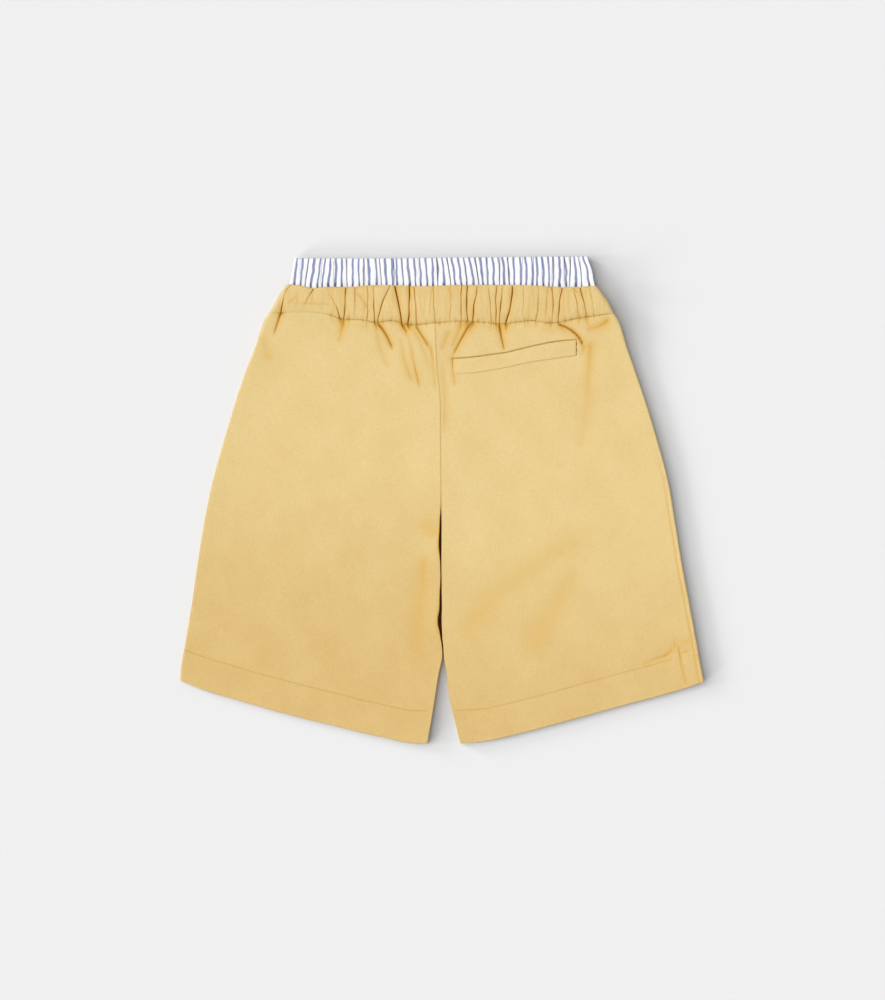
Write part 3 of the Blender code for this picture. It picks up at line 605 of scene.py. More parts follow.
def waist_rise(below):
    """How far the waist lifts the cloth, at a distance below the stitching."""
    return (STITCH_HEIGHT - BODY_HEIGHT) * np.exp(-((below / WAIST_FALL) ** 1.3))


def uneven(x, y):
    return ripple(x, y, "cloth") + ripple(x, y, "cloth_fine")


def back_form(leg, x, y):
    """The back cloth's upper face, and each point's fold depth with painted shade added in the stitching,
    the hem groove, beside the centre seam and in the slit.
    """
    below = np.maximum(stitch_y(x) - STITCH_GAP / 2 - y, 0)
    settled = ease(below / SETTLED)
    to_side = np.abs(x - side_x(leg, y))
    to_seam = np.abs(x - inner_x(leg, y))
    swell = EDGE_SWELL * (np.exp(-to_side / SWELL_REACH) + np.exp(-to_seam / SWELL_REACH))
    over_hem, hem_groove, hem_roll = hem_form(leg, x, y)
    hem = HEM_STEP * ease(0.5 - over_hem / HEM_STEP_WIDTH)
    hem_puckers = ripple(x, y, "hem") * np.exp(-np.abs(over_hem) / HEM_PUCKER_REACH)
    stitched = stitch_groove(x) * np.exp(-below / STITCH_REACH)
    starting = blend(CREASE_START, 1.0, ease(below / CREASE_START_REACH))
    folds = tail_depths(x, below, GATHERS)
    folds += [starting * depth for depth in crease_depths(x, y, CREASES)]
    folded = merged(folds + [pucker_depth(x, below)]) * ease(to_seam / SEAM_CLEAR)
    if leg == "right":
        folded = merged([folded, pocket_grooves(x, y), side_roll(x, y)])
    height = BODY_HEIGHT + waist_rise(below) + swell * settled + hem + hem_puckers
    height = height + uneven(x, y) * settled - hem_groove - hem_roll - stitched - folded
    # Painted shade: the fold depth, and more in the stitching and hem grooves and beside the centre seam.
    shaded = folded + SHADE_AT_STITCHES * stitched + hem_groove + SEAM_SHADE * np.exp(-to_seam / SEAM_SHADE_REACH)
    # Painted shade where the slit opens, on the left leg only.
    if leg == "left":
        open_slit = np.minimum(front_overlap(leg, y), 1.0)
        shaded = shaded + SLIT_SHADE * open_slit * np.exp(-to_seam / SLIT_SHADE_REACH)
    return np.maximum(height, LEAST_HEIGHT), shaded


def pocket_grooves(x, y):
    """The pocket's mouth over the welt, the seam's ditch under it, and its closed end."""
    left, right = WELT["x"][0], WELT["x"][-1]
    inside = ease((x - left) / MOUTH_START + 0.5) * ease((right - x) / MOUTH_END + 1)
    over = y - read(WELT, "top", x)
    under = read(WELT, "bottom", x) - y
    mouth = MOUTH_GROOVE * valley(over, MOUTH_WIDTH)
    ditch = DITCH_GROOVE * valley(under, DITCH_WIDTH)
    between = ease(0.5 - over / END_FADE) * ease(0.5 - under / END_FADE)
    end = MOUTH_GROOVE * valley(x - right - END_CLEAR, MOUTH_WIDTH) * between
    return np.maximum(np.maximum(mouth, ditch) * inside, end)


def side_roll(x, y):
    """The right side seam, rolled a little inward below the pocket."""
    inward = side_x("right", y) - x
    return ROLL_GROOVE * valley(inward - ROLL_INSET, ROLL_WIDTH) * ease((ROLL_START - y) / ROLL_START)


def front_form(leg, x, y):
    """The front cloth's lower face, on the floor but for the gathers, and the depth of its folds with
    painted shade added, near black where it shows in the slit.
    """
    below = np.maximum(stitch_y(x, False) - STITCH_GAP / 2 - y, 0)
    stitched = FRONT_STITCH_GROOVE * np.exp(-below / STITCH_REACH)
    _, hem_groove, hem_roll = hem_form(leg, x, y)
    folded = merged(tail_depths(x, below, FRONT_GATHERS))
    to_seam = np.abs(x - inner_x(leg, y, False))
    # Painted near-black shade where the front shows in the slit.
    shown = ease(front_overlap(leg, y) / FRONT_SLIT_SHADE_START)
    slit_shade = FRONT_SLIT_SHADE * shown * np.exp(-((to_seam / FRONT_SLIT_SHADE_REACH) ** 2))
    return stitched + hem_groove + hem_roll + folded, folded + stitched + hem_groove + slit_shade


def front_overlap(leg, y):
    """How far the front reaches past the back into the slit between the legs."""
    return np.abs(inner_x(leg, y) - inner_x(leg, y, False))


def side_seam_height(y):
    """Middle height of the side edge, rising to the casing."""
    below = np.maximum(SIDE_TOP - y, 0)
    return blend(BODY_SEAM_HEIGHT, CASING_SEAM_HEIGHT, np.exp(-below / WAIST_FALL))


def band_top_height(y):
    """The striped band's upper face, without its folds."""
    return read(BAND_SIDES, "middle", y) + read(BAND_SIDES, "half", y)


def half_gap(back):
    """Half the gap at a side seam, up to the back or down to the front."""
    return SEAM_GAP / 2 if back else -SEAM_GAP / 2


# ---- Grids of points

# The share of the turn made in each column of a turned edge. -1 marks the rim.
EDGE_SHARES = np.append(-1, np.sin(np.radians(EDGE_TURNS)))
FINE_STEPS = 4001


def edge_insets(reach):
    """How far in from the rim each column of a turned edge lies."""
    reach = np.atleast_1d(reach)[:, None]
    return np.concatenate([0 * reach, reach * (1 - np.cos(np.radians(EDGE_TURNS)))], axis=1)


def with_edges(first, middle, last, inset):
    """Places across each row, its end columns set in from both rims."""
    return np.concatenate([first + inset, middle[:, 1:-1], last - inset[:, ::-1]], axis=1)


def turned(rim, flat, shares):
    """Height round a turned edge: upright from the rim, then round to the flat."""
    lip = LIP * np.sign(flat - rim)
    return np.where(shares < 0, rim, rim + lip + (flat - rim - lip) * np.maximum(shares, 0))


def turn_ends(flat, first_rim, last_rim, outer=None):
    """A grid's heights, both ends of its rows turned round from their rims to an outer face."""
    outer = flat if outer is None else outer
    z = flat.copy()
    count = len(EDGE_SHARES)
    first_rim = np.broadcast_to(first_rim, flat.shape)
    last_rim = np.broadcast_to(last_rim, flat.shape)
    z[:, :count] = turned(first_rim[:, :count], outer[:, :count], EDGE_SHARES)
    z[:, -count:] = turned(last_rim[:, -count:], outer[:, -count:], EDGE_SHARES[::-1])
    return z


def spaced(spacing):
    """Distances along a piece, each a step apart as its table says."""
    fine = np.linspace(spacing["at"][0], spacing["at"][-1], FINE_STEPS)
    pace = 1 / np.interp((fine[1:] + fine[:-1]) / 2, spacing["at"], spacing["step"])
    count = np.append(0, np.cumsum(pace * np.diff(fine)))
    return np.interp(np.linspace(0, count[-1], int(round(count[-1])) + 1), count, fine)


def levels(spacing):
    """The same, as shares of the piece's length, down a column."""
    rows = spaced(spacing)
    return (rows / rows[-1])[:, None]


def crowded(marks, first, last, count):
    """Places from first to last, closer together near the marks."""
    fine = np.linspace(first, last, FINE_STEPS)
    middle = (fine[1:] + fine[:-1]) / 2
    density = 1 + CROWDING * sum(np.exp(-((middle - mark) / CROWD_REACH) ** 2) for mark in marks)
    passed = np.append(0, np.cumsum(density))
    return np.interp(np.linspace(0, passed[-1], count), passed, fine)


def folded_columns(folds, first, last, first_ends, last_ends, count):
    """Places of the columns along two lines, between their ends, so that they follow the folds."""
    at_first = crowded(folds[first], *first_ends, count)
    known = [first_ends[0], *folds[first], first_ends[1]]
    return at_first, np.interp(at_first, known, [last_ends[0], *folds[last], last_ends[1]]), known


def panel_points(leg, back):
    """Points over one leg panel, with its edges turned round to meet the other side."""
    inward = 1 if leg == "left" else -1
    outer_end, inner_end = (0, -1) if leg == "left" else (-1, 0)
    hem = HEMS[leg]
    seam_top = stitch_y(inner_x(leg, SIDE_TOP), back)
    side_length = SIDE_TOP - hem["y"][outer_end]
    seam_length = seam_top - hem["y"][inner_end]

    top_side = side_x(leg, SIDE_TOP)
    top_width = abs(inner_x(leg, seam_top) - top_side)
    if back:
        marks = (GATHERS["stitch"] - top_side) * inward
        marks = marks[(marks > 0) & (marks < top_width)]
        columns = crowded(marks, CASING_EDGE, top_width - SEAM_EDGE, PANEL_COLUMNS)
    else:
        columns = np.linspace(CASING_EDGE, top_width - SEAM_EDGE, FRONT_COLUMNS)
    body_rows = spaced(PANEL_ROWS if back else FRONT_ROWS)
    hem_rows = spaced(HEM_ROWS)[1:] / HEM_DEPTH
    body_share = np.concatenate([body_rows / body_rows[-1], np.ones(len(hem_rows))])[:, None]
    hem_share = np.concatenate([np.zeros(len(body_rows)), hem_rows])[:, None]
    at_top = ((columns - columns[0]) / (columns[-1] - columns[0]))[None, :]
    at_hem = np.linspace(0, 1, len(columns))[None, :]

    # Each row's ends on the side edge and the inner edge, and the shares of the way between.
    down_side = body_share * (side_length - HEM_DEPTH) + hem_share * HEM_DEPTH
    down_seam = body_share * (seam_length - HEM_DEPTH) + hem_share * HEM_DEPTH
    inset = edge_insets(blend(BODY_EDGE, CASING_EDGE, np.exp(-down_side[:, 0] / WAIST_FALL)))
    seam_inset = edge_insets(SEAM_EDGE)
    outer = side_x(leg, SIDE_TOP - down_side)
    inner = inner_x(leg, seam_top - down_seam, back)
    width = np.abs(inner - outer)
    middle = blend(at_top, at_hem, ease(body_share))
    middle = blend(inset[:, -1:] / width, 1 - seam_inset[:, -1:] / width, middle)
    across = np.concatenate([inset / width, middle[:, 1:-1], 1 - seam_inset[:, ::-1] / width], axis=1)
    x = blend(outer, inner, across)
    down = blend(down_side, down_seam, across) / blend(side_length, seam_length, across)
    top_y = stitch_y(blend(top_side, inner_x(leg, seam_top), across), back) - STITCH_GAP / 2
    bottom_y = hem_y(leg, blend(hem["x"][outer_end], hem["x"][inner_end], across))
    y = blend(top_y, bottom_y, down)
    flat, folded = back_form(leg, x, y) if back else front_form(leg, x, y)

    open_leg = ease((CROTCH + CROTCH_BLEND / 2 - y) / CROTCH_BLEND)
    closed = flat - SEAM_GROOVE if back else flat + FRONT_SEAM_GROOVE
    seam_rim = blend(closed, BODY_SEAM_HEIGHT + half_gap(back), open_leg)
    if not back:
        seam_rim = seam_rim - np.minimum(front_overlap(leg, y), FRONT_TUCK)
    z = turn_ends(flat, side_seam_height(y) + half_gap(back), seam_rim)
    return np.stack([x, y, z], axis=-1), folded


def casing_points(back):
    """Points over half the casing, from its stitching up to its fold."""
    gathers = GATHERS if back else FRONT_GATHERS
    order = np.argsort(gathers["stitch"])
    folds = {name: column[order] for name, column in gathers.items()}
    inset = edge_insets(CASING_EDGE)
    left_ends, right_ends = (side_x(leg, np.array([SIDE_TOP, CASING_TOP])) for leg in ("left", "right"))
    stitch_ends, top_ends = zip(left_ends + CASING_EDGE, right_ends - CASING_EDGE)
    count = CASING_COLUMNS if back else FRONT_CASING_COLUMNS
    at_stitch, at_top, known = folded_columns(folds, "stitch", "top", stitch_ends, top_ends, count)
    bow = np.interp(at_stitch, known, [0, *folds["bow"], 0])

    level = levels(CASING_ROWS if back else FRONT_CASING_ROWS)
    end_y = blend(SIDE_TOP, CASING_TOP, level)
    left = side_x("left", end_y)
    right = side_x("right", end_y)
    middle = blend(at_stitch, at_top, level) + bowed(bow, level)
    # The ends curve, and the columns near them follow.
    from_left = left + CASING_EDGE - middle[:, :1]
    from_right = right - CASING_EDGE - middle[:, -1:]
    middle = middle + from_left * np.exp(-(at_stitch - at_stitch[0]) / SWELL_REACH)
    middle = middle + from_right * np.exp(-(at_stitch[-1] - at_stitch) / SWELL_REACH)
    x = with_edges(left, middle, right, inset)
    stitched_y = stitch_y(with_edges(left_ends[0], at_stitch[None, :], right_ends[0], inset), back)
    depth = casing_depth(x, level, gathers)
    fold_y = CASING_TOP + (read(WAIST_EDGE, "rise", x) if back else 0)
    y = blend(stitched_y + STITCH_GAP / 2, fold_y - TOP_DIP * np.minimum(depth, 2.0) / 2, level)
    above = y - stitched_y - STITCH_GAP / 2
    if back:
        rise = np.clip(above / CASING_SHOULDER, 0, 1)
        swollen = 1 - (1 - rise) ** 2
        lowest = band_top_height(CASING_TOP) + CASING_WALL + CLEAR_OF_BAND
        rolled = (CASING_HEIGHT - lowest) * round_down(1 - (fold_y - y) / CASING_ROLL_WIDTH)
        wavy = ripple(x, y / 2, "casing") + ripple(x, y / 2, "casing_fine")
        stitched = stitch_groove(x) * np.exp(-above / STITCH_REACH)
        depths = [depth, pucker_depth(x, above), streak_depth(x, level)] + crease_depths(x, y, CRINKLES)
        depth = merged(depths) + stitched
        flat = blend(STITCH_HEIGHT, CASING_HEIGHT + wavy, swollen) - rolled - depth
        over_band = np.where(y > BAND_HIDDEN - 1, band_top_height(y) + CASING_WALL + CLEAR_OF_BAND, 0)
        flat = np.maximum(flat, over_band)
        # Painted shade: darker still in the stitching's groove.
        depth = depth + (SHADE_AT_STITCHES - 1) * stitched
    else:
        flat = FRONT_STITCH_GROOVE * np.exp(-above / STITCH_REACH) + depth
    rim = CASING_SEAM_HEIGHT + half_gap(back)
    return np.stack([x, y, turn_ends(flat, rim, rim)], axis=-1), depth


def band_points(back):
    """Points over half the striped band, from inside the casing up to its own fold."""
    folds = BAND_FOLDS if back else {name: column[::2] for name, column in BAND_FOLDS.items()}
    inset = edge_insets(BAND_EDGE)
    bottom_ends, top_ends = ((BAND_SIDES["left"][end] + BAND_EDGE, BAND_SIDES["right"][end] - BAND_EDGE)
                             for end in (0, -1))
    count = BAND_COLUMNS if back else FRONT_BAND_COLUMNS
    at_bottom, at_top, _ = folded_columns(folds, "bottom", "top", bottom_ends, top_ends, count)

    side = 1 if back else -1
    level = levels(BAND_ROWS)
    band_end = BAND_SIDES["y"][-1]
    end_y = blend(BAND_HIDDEN, band_end, level)
    left = read(BAND_SIDES, "left", end_y)
    right = read(BAND_SIDES, "right", end_y)
    middle = blend(at_bottom, at_top, level)
    span = (middle - middle[:, :1]) / (middle[:, -1:] - middle[:, :1])
    middle = blend(left + BAND_EDGE, right - BAND_EDGE, span)
    x = with_edges(left, middle, right, inset)
    top_y = read(BAND_TOP, "y", x)
    y = blend(BAND_HIDDEN, top_y, level)
    rise = np.clip((y - BAND_MOUTH) / (band_end - BAND_MOUTH), 0, 1)
    share = blend(PRESSED_DEPTH, 1.0, ease(3 * rise))
    depth = BAND_DEPTH * share * merged(
        row["depth"] * fold(x - blend(row["bottom"], row["top"], level), row["width"])
        for row in rows_of(folds)
    )
    height = read(BAND_SIDES, "middle", y)
    half = read(BAND_SIDES, "half", y)
    least = BAND_WALL + SEAM_GAP / 2
    full = half + ripple(x, y / 3, "band") - depth * (1 if back else FRONT_SHARE)
    rolled = round_down(1 - (top_y - y) / BAND_ROLL_WIDTH)
    flat = height + side * blend(np.maximum(full, least), SEAM_GAP / 2, rolled)
    outer = height + side * blend(np.maximum(half, BAND_SEAM_HALF), SEAM_GAP / 2, rolled)
    rim = height + half_gap(back)
    return np.stack([x, y, turn_ends(flat, rim, rim, outer)], axis=-1), depth


def welt_points():
    """Points over the welt's face, from the panel's own points, moved out."""
    x = np.linspace(WELT["x"][0], WELT["x"][-1], WELT_COLUMNS)[None, :]
    bottom = read(WELT, "bottom", x)
    top = read(WELT, "top", x)
    y = blend(bottom, top, levels(WELT_ROWS))
    x = x + 0 * y
    below = np.maximum(stitch_y(x) - y, 0)
    swell = EDGE_SWELL * np.exp(-np.abs(x - inner_x("right", y)) / SWELL_REACH)
    folded = WELT_FOLD_SHARE * merged(crease_depths(x, y, CREASES))
    panel = BODY_HEIGHT + waist_rise(below) + swell + uneven(x, y) - folded
    to_edge = np.minimum(y - bottom, top - y)
    to_end = WELT["x"][-1] - x
    rounded = np.maximum(round_down(1 - to_edge / WELT_ROUND), round_down(1 - to_end / WELT_ROUND))
    rise = WELT_RISE * ease((x - WELT["x"][0]) / WELT_START + WELT_START_SHARE)
    return np.stack([x, y, panel + rise * (1 - rounded)], axis=-1), folded


# ---- Materials


def connect(socket, value):
    """A socket's constant, or its link to another node's socket."""
    if isinstance(value, bpy.types.NodeSocket):
        socket.id_data.links.new(value, socket)
    else:
        socket.default_value = value


def add_node(tree, kind, inputs, **settings):
    """A node with its settings, and its inputs by name or place."""
    node = tree.nodes.new(kind)
    for name, value in settings.items():
        setattr(node, name, value)
    for key, value in inputs.items():
        connect(node.inputs[key], value)
    return node


def new_cloth_material(name, roughness, sheen, specular=0.08):
    """A matt cloth's shader, with a soft fuzz that shows at its edges."""
    material = bpy.data.materials.new(name)
    material.use_nodes = True
    shader = material.node_tree.nodes["Principled BSDF"]
    values = {"Roughness": roughness, "Specular IOR Level": specular,
              "Sheen Weight": sheen, "Sheen Roughness": 0.5}
    for name, value in values.items():
        shader.inputs[name].default_value = value
    return material, shader


def cloth_place(tree):
    """Place on the cloth laid flat, in millimetres: both ways, across, and along."""
    place = add_node(tree, "ShaderNodeUVMap", {}, uv_map="cloth").outputs[0]
    parts = add_node(tree, "ShaderNodeSeparateXYZ", {"Vector": place}).outputs
    return place, parts[0], parts[1]


def math(operation, a, b=0.0):
    return add_node(a.id_data, "ShaderNodeMath", {0: a, 1: b}, operation=operation).outputs[0]


def plus(value, *terms):
    """A value and other values on top, each times its weight."""
    for term, weight in terms:
        value = math("ADD", value, math("MULTIPLY", term, weight))
    return value


def mix(factor, a, b):
    """A colour between two others."""
    return add_node(factor.id_data, "ShaderNodeMix", {0: factor, 6: a, 7: b}, data_type="RGBA").outputs[2]


def scaled_noise(vector, across, along, detail=2.0):
    """Noise with patches of a given size across and along the cloth."""
    scale = (1 / across, 1 / along, 1.0)
    stretch = add_node(vector.id_data, "ShaderNodeMapping", {"Vector": vector, "Scale": scale}).outputs[0]
    inputs = {"Vector": stretch, "Scale": 1.0, "Detail": detail}
    return add_node(vector.id_data, "ShaderNodeTexNoise", inputs).outputs["Fac"]


def object_noise(tree, scale):
    """Noise over the object's own space, in metres."""
    place = add_node(tree, "ShaderNodeTexCoord", {}).outputs["Object"]
    return add_node(tree, "ShaderNodeTexNoise", {"Vector": place, "Scale": scale}).outputs["Fac"]


def weave_relief(height, distance, shader):
    """Bump from a height pattern, its distance in millimetres."""
    inputs = {"Height": height, "Distance": distance * MM, "Strength": 1.0}
    bump = add_node(height.id_data, "ShaderNodeBump", inputs)
    connect(shader.inputs["Normal"], bump.outputs[0])


def ramp(value, first, last, low, high, kind="SMOOTHSTEP"):
    """A value led from low to high between two marks."""
    inputs = {"Value": value, "From Min": first, "From Max": last, "To Min": low, "To Max": high}
    return add_node(value.id_data, "ShaderNodeMapRange", inputs, interpolation_type=kind).outputs[0]


def fold_shade_mask(tree, shallow, deep):
    """A mask for painted shade: 0 on open cloth and 1 in the bottom of a fold, between two depths in
    millimetres.
    """
    depth = add_node(tree, "ShaderNodeAttribute", {}, attribute_name="fold").outputs["Fac"]
    return ramp(depth, shallow, deep, 0.0, 1.0, "LINEAR")


TWILL_LIGHT = (0.80, 0.63, 0.30, 1)
TWILL_DARK = (0.66, 0.43, 0.155, 1)
# Painted shade in the folds, by depth: warm, then brown, then near black.
TWILL_WARM_SHADE = (0.71, 0.41, 0.085, 1)  # painted shade in the folds, warm for light thrown back into them
TWILL_FOLD_SHADE = (0.30, 0.115, 0.002, 1)
TWILL_DEEP_SHADE = (0.055, 0.018, 0.001, 1)
TWILL_PITCH = 0.75
PALE_TO = 90.0  # the cloth is paler down to here, and deepest from the second mark on
DEEP_FROM = 300.0


def twill_material():
    """Yellow ochre cotton twill: fine diagonal ribs, uneven yarns, soft mottling, and painted shade in its
    folds.
    """
    material, shader = new_cloth_material("ochre_twill", 0.9, 0.12)
    cloth, across, along = cloth_place(material.node_tree)
    wobble = scaled_noise(cloth, 3.0, 3.0)
    diagonal = plus(math("ADD", across, along), (wobble, 0.6))
    turn = 2 * np.pi / (TWILL_PITCH * 2 ** 0.5)
    ribs = math("SINE", math("MULTIPLY", diagonal, turn))
    warp = scaled_noise(cloth, 0.5, 6.0)
    weft = scaled_noise(cloth, 6.0, 0.5)
    yarns = math("ADD", warp, weft)
    mottle = scaled_noise(cloth, 26.0, 34.0, 3.0)
    grain = scaled_noise(cloth, 1.6, 1.6)
    shade = math("MULTIPLY", ribs, 0.04)
    shade = plus(shade, (yarns, 0.44), (mottle, 0.50), (grain, 0.42))
    shade = math("ADD", shade, ramp(along, PALE_TO, DEEP_FROM, -0.615, -0.155))
    colour = mix(shade, TWILL_LIGHT, TWILL_DARK)
    # Painted shade: darker, warmer colour where the fold attribute is deep, in folds, seams, stitching and
    # the slit.
    for shallow, deep, dye in ((0.05, 0.75, TWILL_WARM_SHADE), (0.6, 2.0, TWILL_FOLD_SHADE), (2.0, 4.0, TWILL_DEEP_SHADE)):
        colour = mix(fold_shade_mask(material.node_tree, shallow, deep), colour, dye)
    connect(shader.inputs["Base Color"], colour)
    relief = math("ADD", math("MULTIPLY", ribs, 0.35), yarns)
    weave_relief(relief, 0.06, shader)
    return material


# Casing and hem thread, darker than the cloth: partly the thread's own colour, partly painted shade of its
# needle holes.
SHADED_OCHRE_THREAD = ((0.50, 0.27, 0.06, 1), (0.34, 0.155, 0.025, 1))
# Pale thread for the pocket's tack: partly the tack, partly painted highlight of its lit edge.
PALE_TACK_HIGHLIGHT = ((0.95, 0.92, 0.84, 1), (0.82, 0.76, 0.62, 1))
FLOOR_TONES = ((0.446, 0.446, 0.447, 1), (0.448, 0.448, 0.449, 1))

COTTON_WHITE = (0.90, 0.90, 0.91, 1)
COTTON_BLUE = (0.155, 0.185, 0.40, 1)
COTTON_NAVY_SHADE = (0.01, 0.012, 0.07, 1)
COTTON_FOLD_SHADE = (0.05, 0.05, 0.09, 1)
STRIPE_FRAY = 0.3
STRIPE_WANDER = 1.3  # the gathered cloth brings some stripes closer together
STRIPE_BEND = 1.0  # and bends them
STRIPE_BLUR = 0.25


def striped_material():
    """White cotton with narrow woven blue stripes that run up the band."""
    material, shader = new_cloth_material("striped_cotton", 0.85, 0.15)
    cloth, across, along = cloth_place(material.node_tree)
    frayed = scaled_noise(cloth, 0.6, 2.5)
    wander = scaled_noise(cloth, 8.0, 40.0, 1.0)
    bends = scaled_noise(cloth, 8.0, 10.0, 1.0)
    across = plus(across, (frayed, STRIPE_FRAY), (wander, STRIPE_WANDER * 2), (bends, STRIPE_BEND * 2))
    across = math("ADD", across, STRIPE_SHIFT)
    from_line = math("PINGPONG", across, STRIPE_PITCH / 2)
    half = STRIPE_WIDTH / 2
    edge = ramp(from_line, half - STRIPE_BLUR, half + STRIPE_BLUR, 1.0, 0.0)
    # Painted shade: the stripes turn navy just above the casing's edge, under its fold.
    mouth = ramp(along, BAND_MOUTH + 2.2, BAND_MOUTH + 5.0, 1.0, 0.0)
    blue = mix(mouth, COTTON_BLUE, COTTON_NAVY_SHADE)
    yarns = scaled_noise(cloth, 0.35, 1.2)
    blue = mix(math("MULTIPLY", yarns, 0.25), blue, COTTON_WHITE)
    colour = mix(edge, COTTON_WHITE, blue)
    # Painted shade: dark in the band's folds.
    colour = mix(fold_shade_mask(material.node_tree, 0.35, 1.5), colour, COTTON_FOLD_SHADE)
    connect(shader.inputs["Base Color"], colour)
    plain = math("ADD", yarns, scaled_noise(cloth, 1.2, 0.35))
    weave_relief(plain, 0.04, shader)
    return material


def thread_material(name, light, dark):
    """Sewing thread with a twist."""
    material, shader = new_cloth_material(name, 0.6, 0.2)
    colour = mix(object_noise(material.node_tree, 1400.0), light, dark)
    connect(shader.inputs["Base Color"], colour)
    return material


def floor_material():
    """A plain pale surface."""
    material, shader = new_cloth_material("pale_floor", 0.95, 0.0, 0.0)
    colour = mix(object_noise(material.node_tree, 3.0), *FLOOR_TONES)
    connect(shader.inputs["Base Color"], colour)
    return material


# ---- Making the pieces

# Where each piece starts on the twill's tone ramp: paler near the waist, deeper towards the hems.
CASING_FROM = 140.0
LEG_FROM = {"left": 15.0, "right": -45.0}


def put(name, data):
    """A new object in the scene."""
    item = bpy.data.objects.new(name, data)
    bpy.context.scene.collection.objects.link(item)
    return item


def flat_lengths(points, axis):
    """Distance over the cloth along one direction of its grid."""
    steps = np.linalg.norm(np.diff(points, axis=axis), axis=-1)
    lengths = np.cumsum(steps, axis=axis)
    start = np.zeros_like(np.take(lengths, [0], axis=axis))
    return np.concatenate([start, lengths], axis=axis)


def flat_across(points):
    """Distance over the cloth from its middle column."""
    across = flat_lengths(points, 1)
    return across - across[:, across.shape[1] // 2, None]


def cloth_flat(points, start=0.0):
    """Where each point lies on the cloth before it was gathered, measured from the middle."""
    return np.stack([flat_across(points), start + flat_lengths(points, 0)], axis=-1)


def striped_flat(points):
    """The band's flat width, the same all the way up a column, and its height in the frame."""
    middle = len(points) // 2
    across = flat_across(points[middle:middle + 1])
    return np.stack([across + 0 * points[..., 0], points[..., 1]], axis=-1)


def add_cloth(name, points, folded, flat, wall, material, facing_up):
    """A cloth shell: an open surface through a grid of points, thickened inwards."""
    row_count, column_count = points.shape[:2]
    corners = np.arange(row_count * column_count).reshape(row_count, column_count)
    faces = np.stack([corners[:-1, :-1], corners[:-1, 1:], corners[1:, 1:], corners[1:, :-1]], axis=-1)
    faces = faces.reshape(-1, 4)
    step_across = points[0, -1] - points[0, 0]
    step_along = points[-1, 0] - points[0, 0]
    counterclockwise = step_across[0] * step_along[1] - step_across[1] * step_along[0] > 0
    if counterclockwise != facing_up:
        faces = faces[:, ::-1]
    mesh = bpy.data.meshes.new(name)
    mesh.from_pydata((points.reshape(-1, 3) * MM).tolist(), [], faces.tolist())
    uv = mesh.uv_layers.new(name="cloth")
    uv.data.foreach_set("uv", flat.reshape(-1, 2)[faces.ravel()].ravel())
    # The fold attribute: fold depth with painted shade added, which the materials paint as shade.
    depth = mesh.attributes.new("fold", "FLOAT", "POINT")
    depth.data.foreach_set("value", folded.ravel())
    mesh.shade_smooth()
    ends = np.empty(2 * len(mesh.edges), dtype=int)
    mesh.edges.foreach_get("vertices", ends)
    row, column = np.divmod(ends.reshape(-1, 2), column_count)
    rim = [(place == mark).all(axis=1) for place, mark in
           ((row, 0), (row, row_count - 1), (column, 0), (column, column_count - 1))]
    mesh.edges.foreach_set("use_edge_sharp", np.any(rim, axis=0))
    mesh.materials.append(material)
    cloth = put(name, mesh)
    shell = cloth.modifiers.new("wall", "SOLIDIFY")
    shell.thickness = wall * MM
    shell.offset = -1
    return cloth


CASING_THREAD = 0.24  # radius
THREAD = 0.19
THREAD_TIP = 0.55  # share of the radius at a stitch's ends
THREAD_SIDES = 6
THREAD_RINGS = 5


def add_stitches(name, starts, ends, lift, material, radius=THREAD):
    """A row of stitches, each a short thread that rises out of the cloth and dives back in."""
    vertices = []
    faces = []
    for start, end in zip(starts, ends):
        run = end - start
        run = run / np.linalg.norm(run)
        side = np.cross((0, 0, 1), run)
        side = side / np.linalg.norm(side)
        up = np.cross(run, side)
        first = len(vertices)
        for t in np.linspace(0, 1, THREAD_RINGS):
            arch = np.sin(np.pi * t)
            centre = blend(start, end, t) + np.array((0, 0, lift * arch))
            size = radius * (THREAD_TIP + (1 - THREAD_TIP) * arch)
            for a in np.linspace(0, 2 * np.pi, THREAD_SIDES, endpoint=False):
                vertices.append(centre + size * (np.cos(a) * side + np.sin(a) * up))
        for ring in range(THREAD_RINGS - 1):
            for i in range(THREAD_SIDES):
                a = first + ring * THREAD_SIDES + i
                b = first + ring * THREAD_SIDES + (i + 1) % THREAD_SIDES
                faces.append((a, b, b + THREAD_SIDES, a + THREAD_SIDES))
        faces.append([first + i for i in reversed(range(THREAD_SIDES))])
        last = first + (THREAD_RINGS - 1) * THREAD_SIDES
        faces.append([last + i for i in range(THREAD_SIDES)])
    mesh = bpy.data.meshes.new(name)
    mesh.from_pydata((np.array(vertices) * MM).tolist(), [], faces)
    mesh.shade_smooth()
    mesh.materials.append(material)
    stitches = put(name, mesh)
    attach(stitches, "root")


def make_shorts():
    """All the cloth, each piece standing for its node."""
    twill = twill_material()
    stripes = striped_material()
    sheets = {}

    def add(node, points, folded, flat, wall, material=twill):
        sheets[node] = add_cloth(f"{node}_cloth", points, folded, flat, wall, material, "front" not in node)

    for leg in ("left", "right"):
        for face in ("back", "front"):
            points, folded = panel_points(leg, face == "back")
            add(f"{face}_{leg}", points, folded, cloth_flat(points, LEG_FROM[leg]), TWILL_WALL)
    for face in ("back", "front"):
        points, folded = casing_points(face == "back")
        add(f"waistband_{face}", points, folded, cloth_flat(points, CASING_FROM), CASING_WALL)
        points, folded = band_points(face == "back")
        add(f"striped_band_{face}", points, folded, striped_flat(points), BAND_WALL, stripes)
    points, folded = welt_points()
    add("pocket_welt", points, folded, cloth_flat(points), WELT_WALL)
    for node, cloth in sheets.items():
        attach(cloth, "root")
        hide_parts(node)
    return sheets


